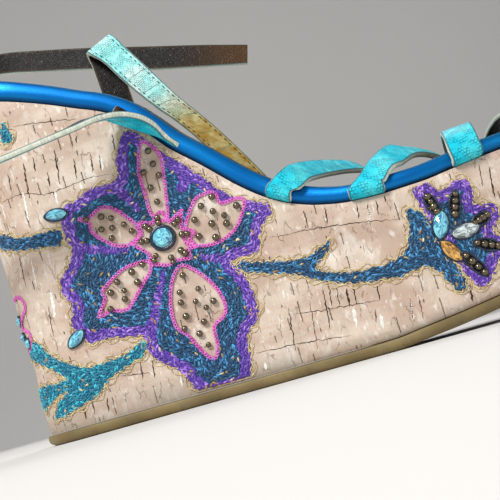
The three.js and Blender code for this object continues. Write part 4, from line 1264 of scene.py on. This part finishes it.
def sew(sheets, spots, zone, line, side):
    count = len(spots)
    _, way = nearest(spots, line)
    way = way + chance.normal(0, STITCH_TURN, count)
    length = chance.uniform(*STITCH_LENGTH, count)[:, None, None] / 2
    along, across = np.linspace(-1, 1, 4)[:, None], STITCH_PROFILE
    a, b = along * length + 0 * across, across * STITCH_WIDTH / 2 * (1 - 0.45 * along ** 4) + 0 * length
    turn, turn_up = np.cos(way)[:, None, None], np.sin(way)[:, None, None]
    s = spots[:, 0, None, None] + a * turn - b * turn_up
    z = np.maximum(spots[:, 1, None, None] + a * turn_up + b * turn, THREAD_FLOOR)
    high = chance.uniform(0.7, 1.3, count)[:, None, None] * STITCH_HIGH
    lift = THREAD_LIFT + high * (np.abs(across) < 0.9) * (1 - 0.6 * along ** 2)
    # a few stitches get the light tone: partly painted highlight
    shade = chance.uniform(0, 1, count)[:, None, None] ** HIGHLIGHT_RARITY + 0 * a
    zone = np.where(chance.uniform(0, 1, count) < GLINT, GOLD, zone)
    sheets.add(facing(wall(s, z, lift, side), side), np.stack([a, b], -1), one_value(shade),
               zone=zone[:, None, None])


def ground(sheets, field, side):
    spots, zone = field_spots(field, GROUND_STEP, 0)
    corner = np.array([-0.5, 0.5])
    s = spots[:, 0, None, None] + corner[:, None] * GROUND_STEP[0] + 0 * corner
    z = spots[:, 1, None, None] + corner * GROUND_STEP[1] + 0 * corner[:, None]
    grids = wall(s, np.maximum(z, THREAD_FLOOR), THREAD_LIFT * 0.6, side)
    sheets.add(facing(grids, side), zone=zone[:, None, None])


for side, label in SIDES.items():
    stitched = Sheets()
    for field, line in field_lines.items():
        spots, zone = field_spots(field, STITCH_STEP, 0.5)
        sew(stitched, spots, zone, line, side)
        ground(stitched, field, side)
    threads = [navy_thread, purple_thread, teal_thread, gold_thread, dark_setting]
    place(stitched.build("embroidery_" + label, threads, weld=0, sharp=0), None)


# %% [markdown]
# ## Outline threads
# Each petal and the star in the middle are edged with a pink chain stitch: two strands that cross
# again and again. Three loose gold threads are couched round every field, at its edge or a
# little outside it.

# %% Chain stitch and gold thread
CHAIN_SWING, CHAIN_LOOP, CHAIN_RADIUS, CHAIN_ROUGH, CHAIN_LIFT = 0.55, 2.1, 0.24, 0.04, 0.3
# out | swing | length | start
GOLD_STRANDS = [(0.4, 0.6, 5.3, 0.0), (1.1, 0.8, 7.1, 2.0), (0.1, 0.45, 3.7, 4.0)]
GOLD_RADIUS, GOLD_ROUGH, GOLD_LIFT = 0.15, 0.09, 0.3


def moved_out(line, out):
    """A closed line moved outward by a distance."""
    area = np.sum(line[:-1, 0] * line[1:, 1] - line[1:, 0] * line[:-1, 1])
    return line - left_of(line) * out * np.sign(area)


def on_sheet(line):
    return np.stack([line[:, 0], np.clip(line[:, 1], THREAD_FLOOR, sheet_top(line[:, 0]))], -1)


curl_line = smooth_path(CURL, 0.35)[0]
for side, label in SIDES.items():
    edging = Sheets()
    for line in (*petal_lines.values(), star_line, curl_line):
        for start in (0, math.pi):
            strand = wavy(line, CHAIN_SWING, CHAIN_LOOP, start, CHAIN_ROUGH)
            thread(edging, strand, side, CHAIN_RADIUS, THREAD_LIFT + CHAIN_LIFT, corners=4)
    for out, swing, length, start in GOLD_STRANDS:
        for line in field_lines.values():
            strand = wavy(moved_out(line, out), swing, length, start, GOLD_ROUGH)
            thread(edging, on_sheet(strand), side, GOLD_RADIUS, GOLD_LIFT, zone=1, corners=4)
    place(edging.build("outline_threads_" + label, [pink_thread, gold_thread], weld=0, sharp=0), None)


# %% [markdown]
# ## Seed beads
# Dark faceted seed beads are sewn inside the petals, round the middle stone and, close together,
# along the five seed pods of the bud.

# %% Beads
BEAD_RADIUS, RING_BEAD, HEART_BEAD, BEAD_SQUASH = 1.2, 1.15, 2.4, 0.8
BEAD_SINK = 0.85          # share of its height that a bead's middle stands off the thread
BEAD_VARIETY = 3.7        # texture distance from one bead to the next
POD_STEPS = (0.1, 0.37, 0.63, 0.9)
POD_RIM, POD_LIFT = 0.42, 0.35


def add_beads(sheets, spots, side, radius):
    spots = np.asarray(spots, float)
    middle, *axes = wall_frame(spots, side, THREAD_LIFT + radius * BEAD_SQUASH * BEAD_SINK)
    fall, turn = np.linspace(0, math.pi, 7)[:, None], np.linspace(0, 2 * math.pi, 11)[None, :]
    size = radius * chance.uniform(0.85, 1.12, len(spots))[:, None, None, None]
    parts = [np.sin(fall) * np.cos(turn), np.sin(fall) * np.sin(turn),
             BEAD_SQUASH * np.cos(fall) + 0 * turn]
    offset = sum(part[..., None] * axis[:, None, None] for part, axis in zip(parts, axes))
    own = np.arange(len(spots))[:, None, None, None] * BEAD_VARIETY
    spread = np.stack(parts[:2], -1) * 0.5 + own
    sheets.add(facing(middle[:, None, None] + size * offset, side), spread, spread)


pod_beads = [np.array(a) + (np.array(b, float) - a) * t for a, b in BUD_SEEDS for t in POD_STEPS]
ring_beads = [round_heart(turn, reach + away) for turn, reach in RING_BEADS for away in (-0.9, 0.9)]
for side, label in SIDES.items():
    beads = Sheets()
    for spots, radius in ((PETAL_BEADS, BEAD_RADIUS), (ring_beads, RING_BEAD), (pod_beads, BEAD_RADIUS)):
        add_beads(beads, spots, side, radius)
    for ends in BUD_SEEDS:
        thread(beads, pod_line(*ends), side, POD_RIM, THREAD_LIFT + POD_LIFT, zone=1, corners=6)
    if side == INNER_SIDE:
        add_beads(beads, [FLOWER_HEART], side, HEART_BEAD)
    place(beads.build("seed_beads_" + label, [pewter_bead, dark_setting], weld=0, sharp=0), None)


# %% [markdown]
# ## Fissures of the cork
# Real cork bark has short upright slits, dark where they are open and chalky where filler fills
# them, and long hairlines where sheets meet. The plain ones are placed one by one where they show.

# %% Slits and hairlines
# distance | top | bottom | width
DARK_SLITS = [
    (52.5, 101, 88, 0.4), (57.5, 96, 88, 0.35), (42, 99.5, 86, 0.45), (45.5, 100.5, 95, 0.4),
    (48.5, 94, 88, 0.35), (36, 97.5, 90.5, 0.3), (63, 96, 88.5, 0.35), (65.5, 94.5, 88.5, 0.3),
    (71.5, 100.5, 94, 0.35), (60, 104, 101, 0.3), (30, 69.5, 56, 0.3), (35.5, 47.5, 36, 0.25),
    (32.5, 58, 54, 0.25), (65, 19.5, 13, 0.35), (61, 20, 13.5, 0.35), (42, 11.5, 6.5, 0.3),
    (47, 11.5, 6, 0.3), (38.5, 9, 6, 0.3), (129, 54, 47.5, 0.35), (136, 53, 46.5, 0.3),
    (146.5, 51, 45.5, 0.4), (150, 49.5, 44, 0.35), (153, 50, 44.5, 0.3), (156, 50.5, 48, 0.3),
    (129.5, 27.5, 19.5, 0.3), (127.5, 26.5, 12.5, 0.3), (132, 26.5, 19, 0.25), (137.5, 25, 18, 0.3),
    (145, 22.5, 17.5, 0.3), (142, 15.5, 10.5, 0.35), (154, 15.5, 7.5, 0.3), (157, 15.5, 7.5, 0.3),
    (114.5, 24, 9, 0.3), (122, 24, 7.5, 0.2), (135, 24.5, 18, 0.5), (173.5, 13.5, 8.5, 0.5),
    (192, 50, 39.5, 0.4), (189, 52, 44, 0.3),
]
PALE_SLITS = [
    (38, 52.5, 42.5, 0.9), (34.5, 66, 55, 0.4), (39, 89.5, 78.5, 0.6), (49, 86.5, 81, 0.7),
    (57.5, 87, 83, 0.6), (66, 94, 88.5, 0.4), (29.5, 87.5, 82, 0.4), (114.5, 30.5, 27, 0.6),
    (135.5, 18, 10.5, 0.9), (143.5, 13.5, 8, 0.8), (154, 15, 8, 0.4), (102, 8.5, 5.5, 0.8),
    (73, 12, 7.5, 0.6), (56.5, 108.5, 105.5, 0.5), (150, 48.5, 44, 0.4), (147, 30.5, 26.5, 0.5),
]
HAIRLINES = [
    [(42, 113.5), (51.5, 112), (62, 109.5)],
    [(29, 88.5), (39, 88.5), (46, 86), (53, 86.5), (61, 87.5), (67.5, 86.5)],
    [(114.5, 48.5), (132.5, 46.5), (151.5, 43), (159.5, 41)],
    [(99.5, 12), (115, 11), (132.5, 9)],
    [(113.5, 21.5), (127, 19.5), (145, 17.5)],
    [(53, 17), (63, 15.5)],
]
SLIT_LIFT, SLIT_SLANT, SLIT_STEP = 0.05, 0.11, 0.7
SLIT_WANDER = 0.14
HAIR_WIDTH, HAIR_STEP = 0.2, 0.8


def ragged_strip(sheets, line, width, side, zone):
    count = len(line)
    taper = np.sin(math.pi * np.linspace(0, 1, count))[:, None] ** 0.5
    beside = left_of(line)
    half = width * 0.7 * taper * chance.uniform(0.4, 1.3, (count, 1))
    middle = line + beside * chance.normal(0, SLIT_WANDER, (count, 1))
    grid = np.stack([middle - beside * half, middle + beside * half], 1)
    shade = np.repeat(chance.uniform(0, 1, (count, 1)), 2, 1)
    points = wall(grid[..., 0], grid[..., 1], SLIT_LIFT, side)
    sheets.add(points, grid, one_value(shade), zone=zone, flip=side == INNER_SIDE)


for side, label in SIDES.items():
    fissures = Sheets()
    for zone, table in enumerate((DARK_SLITS, PALE_SLITS)):
        for s, top, bottom, width in table:
            ends = np.array([(s, top), (s - (top - bottom) * SLIT_SLANT, bottom)])
            ragged_strip(fissures, even_steps(ends, SLIT_STEP), width, side, zone)
    for points in HAIRLINES:
        ragged_strip(fissures, smooth_path(points, HAIR_STEP)[0], HAIR_WIDTH, side, 0)
    place(fissures.build("cork_fissures_" + label, [fissure_dark, fissure_pale], weld=0, sharp=0), "cork")


# %% [markdown]
# ## Cut stones
# Eight glued stones: a round one in the flower, almond-shaped ones at its side and in the bud, and
# three small ones at the heel. Each is built facet by facet, and every facet gets its own random
# brightness, a painted glint of the foil-backed glass. A dark rim stands for the setting. The amber
# one in the bud is only drawn here.

# %% Stone finishes
def stone_material(name, deep, pale):
    material, tree, shader = new_material(name)
    inner = times(tree, noise(tree, texture_place(tree), 0.8, 2), 0.2)
    # each facet's brightness between deep and pale: painted glint
    light = plus(tree, times(tree, piece_value(tree), 0.85), inner, clamp=True)
    finish_shader(tree, shader, blend(tree, light, deep, pale), 0.06,
                  **{"Coat Weight": 1.0, "Coat Roughness": 0.03})
    return material


aqua_stone = stone_material("aqua_stone", colour(0, 84, 150), colour(150, 246, 255))
clear_stone = stone_material("clear_stone", colour(40, 58, 66), colour(236, 250, 250))
amber_stone = stone_material("amber_stone", colour(86, 40, 8), colour(255, 196, 96))

# %% Stones
# name | x share | z share | half length | half width | height | turn | finish | rim
STONES = [
    ("stone_flower", 0.2755, 0.448, 3.4, 3.4, 2.4, 0, aqua_stone, 0.85),
    ("stone_leaf_upper", 0.1186, 0.588, 3.7, 2.0, 1.8, -5, aqua_stone, 0.35),
    ("stone_leaf_lower", 0.104, 0.252, 3.7, 1.8, 1.8, 35, aqua_stone, 0.35),
    ("stone_bud_upper", 0.688, 0.27, 4.6, 2.5, 2.2, 70, aqua_stone, 0.4),
    ("stone_bud_lower", 0.721, 0.239, 4.6, 2.3, 2.0, 5, clear_stone, 0.4),
    ("stone_heel_upper", 0.006, 0.352, 1.7, 1.7, 1.4, 0, aqua_stone, 0.4),
    ("stone_heel_middle", 0.006, 0.305, 1.7, 1.7, 1.4, 0, aqua_stone, 0.4),
    ("stone_heel_lower", 0.016, 0.284, 1.7, 1.7, 1.4, 0, aqua_stone, 0.4),
]
AMBER_SPOT = (171.5, 26.5)
CUT = [(1.0, 0.0), (1.0, 0.35), (0.78, 0.72), (0.42, 0.98), (0.0, 1.0)]    # share of size | of height
SMALL_STONE = 2           # up to this half length a stone has fewer facets
POINTED = 1.35            # the higher, the sharper the ends of an almond


def wall_spot(share_x, share_z):
    """Distance along the outer outline at which the wall has a wanted x and height."""
    want_x, z = share_x * SOLE_LENGTH, share_z * HEEL_HEIGHT
    s = OUTLINES[OUTER_SIDE].distance(want_x)
    for _ in range(12):
        s = s + 0.7 * (want_x - wall(s, z)[..., 0])
    return s, z


def almond(t, half_long, half_wide, power):
    """Oval whose ends are the more pointed, the higher the power is over 1."""
    return half_long * np.cos(t), half_wide * np.sign(np.sin(t)) * np.abs(np.sin(t)) ** power


def cut_stone(name, spot, half_long, half_wide, high, turn, finish, rim_width):
    middle, along, upward, out = wall_frame(np.array(spot, float), OUTER_SIDE, GAP)
    sides = 16 if half_long > SMALL_STONE else 8
    power = POINTED if half_long > half_wide * 1.2 else 1.0
    cosine, sine = math.cos(math.radians(turn)), math.sin(math.radians(turn))
    first, second = along * cosine + upward * sine, upward * cosine - along * sine
    rings = []
    for level, (size, share) in enumerate(CUT):
        t = 2 * math.pi * (np.arange(sides + 1) + 0.5 * (level % 2)) / sides
        a, b = almond(t, half_long * size, half_wide * size, power)
        rings.append(middle + a[:, None] * first + b[:, None] * second + out * share * high)
    rings = np.array(rings)
    facets = np.stack([rings[:-1, :-1], rings[1:, :-1], rings[:-1, 1:], rings[1:, 1:]], 2)
    grids = facets.reshape(-1, 2, 2, 3)
    # a random brightness for each facet: painted glint
    light = np.broadcast_to(chance.uniform(0, 1, len(grids))[:, None, None], grids.shape[:3])
    sheets = Sheets()
    sheets.add(grids[:, :, ::-1], grids[..., :2], one_value(light))
    edge = rim_width * 0.6
    a, b = almond(np.linspace(0, 2 * math.pi, 33), half_long + edge, half_wide + edge, power)
    rim = np.stack([spot[0] + a * cosine - b * sine, spot[1] + a * sine + b * cosine], -1)
    thread(sheets, rim, OUTER_SIDE, rim_width, GAP + 0.2, zone=1, corners=8)
    made = sheets.build(name + "_glass", [finish, dark_setting], weld=0, sharp=0, smooth_faces=False)
    place(made, "stone_glass", *([name] if name.startswith("stone_") else []))


for name, share_x, share_z, *cut in STONES:
    cut_stone(name, wall_spot(share_x, share_z), *cut)
cut_stone("amber_bud", AMBER_SPOT, 4.4, 2.1, 1.8, -60, amber_stone, 0.35)


# %% [markdown]
# ## Stitches and creases of the stirrup
# Two rows of dark teal stitches run along the stirrup, a little inside its cut edges. Where the
# strap bends it keeps a few sharp creases across, drawn as thin strips in a darker colour: painted shadow.

# %% Strap stitches and creases
STITCH_IN, STRAP_STITCH, STRAP_STITCH_GAP = 1.8, 1.7, 1.1
STITCH_THICK, STITCH_FLAT, STITCH_LIFT = 0.24, 0.7, 0.02
FIRST_STITCH, LAST_ROOM = 4, 6             # bare strap at the two roots
CREASE_THICK, CREASE_FLAT, CREASE_POINTS, CREASE_WANDER = 0.16, 0.2, 14, 0.16
TAPER = 0.25                               # radians left out at the ends of a stitch or crease
# share of the length | side reach from | side reach to | slant
CREASES = [(0.455, -0.6, 0.9, 0.8), (0.5, -0.9, 0.8, 0.5), (0.545, -0.8, 0.9, 1.2),
           (0.585, -0.95, 0.2, -1.5), (0.592, -0.1, 0.9, 1.5), (0.65, -0.9, 0.5, 1.0),
           (0.7, -0.6, 0.8, -0.8)]


def on_strap(line, walk, reach, lift):
    """Point on a strap's outer face: distance along it, reach across it, height over it."""
    middle, across, normal, width, walked = line
    here, side, up = (np.stack([np.interp(walk, walked, v[:, k]) for k in range(3)], -1)
                      for v in (middle, across, normal))
    half = np.interp(walk, walked, width)[..., None] / 2
    reach = np.asarray(reach)[..., None]
    return here + side * reach * half + up * (STRAP_THICK / 2 + DOME * (1 - reach ** 2) + lift)


def strap_tube(sheets, walk, reach, radius, flatten, lift):
    """Tapered tube that follows a line on the stirrup's outer face."""
    points = on_strap(stirrup_line, walk, reach, lift)
    outward = on_strap(stirrup_line, walk, reach, lift + 1) - points
    turns = np.linspace(0, 2 * math.pi, 7)
    thin = np.sin(np.linspace(TAPER, math.pi - TAPER, len(points)))[:, None]
    grid = tube(points, outward, radius, turns, flatten, thin[..., None])
    sheets.add(grid, np.stack([turns + 0 * thin, 0 * turns + thin], -1))


stirrup_length, stirrup_width = stirrup_line[4][-1], stirrup_line[3].mean()
sewn = Sheets()
for row in (-1, 1):
    reach = row * (1 - 2 * STITCH_IN / stirrup_width)
    for start in np.arange(FIRST_STITCH, stirrup_length - LAST_ROOM, STRAP_STITCH + STRAP_STITCH_GAP):
        walk = start + np.linspace(0, STRAP_STITCH, 5)
        strap_tube(sewn, walk, np.full(5, reach), STITCH_THICK, STITCH_FLAT, STITCH_LIFT)
teal_stitch = thread_material("teal_stitch", colour(0, 52, 60), colour(20, 110, 110))
place(sewn.build("stirrup_stitches", [teal_stitch], weld=0, sharp=0), None)

creased = Sheets()
for share, start, end, slant in CREASES:
    reach = np.linspace(start, end, CREASE_POINTS)
    walk = share * stirrup_length + slant * reach + chance.normal(0, CREASE_WANDER, CREASE_POINTS)
    strap_tube(creased, walk, reach, CREASE_THICK, CREASE_FLAT, 0.0)
crease_shadow = thread_material("crease_shadow", colour(96, 132, 104), colour(150, 166, 118), 0.8)
place(creased.build("stirrup_creases", [crease_shadow], weld=0, sharp=0), None)


# %% [markdown]
# ## Light, floor and camera
# A pale floor that sweeps up behind the shoe, one large soft lamp in front above the heel side and
# two weaker ones. The camera keeps the photo's roll and crop, a few millimetres over the floor.

# %% Floor and sweep
SWEEP_START, SWEEP_ROUND, FLOOR_FRONT, FLOOR_SIDE, WALL_TOP = 1.1, 0.6, -3.0, 3.5, 3.2    # metres
floor_paint, tree, shader = new_material("pale_floor")
spot = node(tree, "TexCoord").outputs["Object"]
paper = blend(tree, noise(tree, spot, 3.0, 3), colour(222, 220, 216), colour(228, 226, 222))
finish_shader(tree, shader, paper, 0.75)
profile = [(FLOOR_FRONT, 0.0), (SWEEP_START, 0.0)]
profile += [(SWEEP_START + SWEEP_ROUND * math.sin(t), SWEEP_ROUND - SWEEP_ROUND * math.cos(t))
            for t in np.linspace(0.1, math.pi / 2, 14)]
profile += [(SWEEP_START + SWEEP_ROUND, WALL_TOP)]
floor_points = [(x, y, z) for y, z in profile for x in (-FLOOR_SIDE, FLOOR_SIDE)]
floor_faces = [(2 * i, 2 * i + 1, 2 * i + 3, 2 * i + 2) for i in range(len(profile) - 1)]
floor_mesh = bpy.data.meshes.new("floor_sweep")
floor_mesh.from_pydata(floor_points, [], floor_faces)
floor_mesh.polygons.foreach_set("use_smooth", [True] * len(floor_faces))
floor_mesh.materials.append(floor_paint)
floor = new_object("floor_sweep", floor_mesh)

# %% Lamps
# name | place | aimed at | size, all in metres | watts | tint
LAMPS = [
    ("key_lamp", (-0.45, -0.75, 0.85), (0.03, 0, 0.06), 0.35, 13, (1.0, 0.98, 0.96)),
    ("fill_lamp", (0.9, -0.8, 0.35), (0.03, 0, 0.05), 0.9, 2.6, (0.92, 0.96, 1.0)),
    ("back_lamp", (0.1, 0.7, 0.9), (0.03, 0, 0.08), 0.6, 3.5, (1.0, 1.0, 1.0)),
]
ROOM_LIGHT = 0.38
for name, at, target, size, power, tint in LAMPS:
    light = bpy.data.lights.new(name, "AREA")
    light.shape, light.size, light.energy, light.color = "DISK", size, power, tint
    lamp = new_object(name, light)
    lamp.location = at
    lamp.rotation_euler = (Vector(target) - Vector(at)).to_track_quat("-Z", "Y").to_euler()
world = bpy.data.worlds.new("studio")
world.use_nodes = True
background = world.node_tree.nodes["Background"]
background.inputs["Color"].default_value = colour(232, 234, 238)
background.inputs["Strength"].default_value = ROOM_LIGHT
bpy.context.scene.world = world
bpy.context.scene.view_settings.view_transform = "Standard"

# %% Camera
ROLL, PITCH = math.radians(15.7), math.radians(9.03)
CAMERA_AT, LENS, SENSOR = (0.0282, -0.2964, 0.0043), 56.16, 36
right = Vector((1, 0, 0))
up = Vector((0, -math.sin(PITCH), math.cos(PITCH)))
ahead = Vector((0, math.cos(PITCH), math.sin(PITCH)))
axis_x = right * math.cos(ROLL) - up * math.sin(ROLL)
axis_y = right * math.sin(ROLL) + up * math.cos(ROLL)
turned = Matrix((axis_x, axis_y, -ahead)).transposed().to_4x4()
lens = bpy.data.cameras.new("photo_camera")
lens.lens, lens.sensor_width = LENS, SENSOR
lens.clip_start, lens.clip_end = 0.01, 20
camera = new_object("photo_camera", lens)
camera.matrix_world = Matrix.Translation(CAMERA_AT) @ turned
bpy.context.scene.camera = camera
print("lamps:", len(LAMPS), "| camera height, mm:", CAMERA_AT[2] / MM)
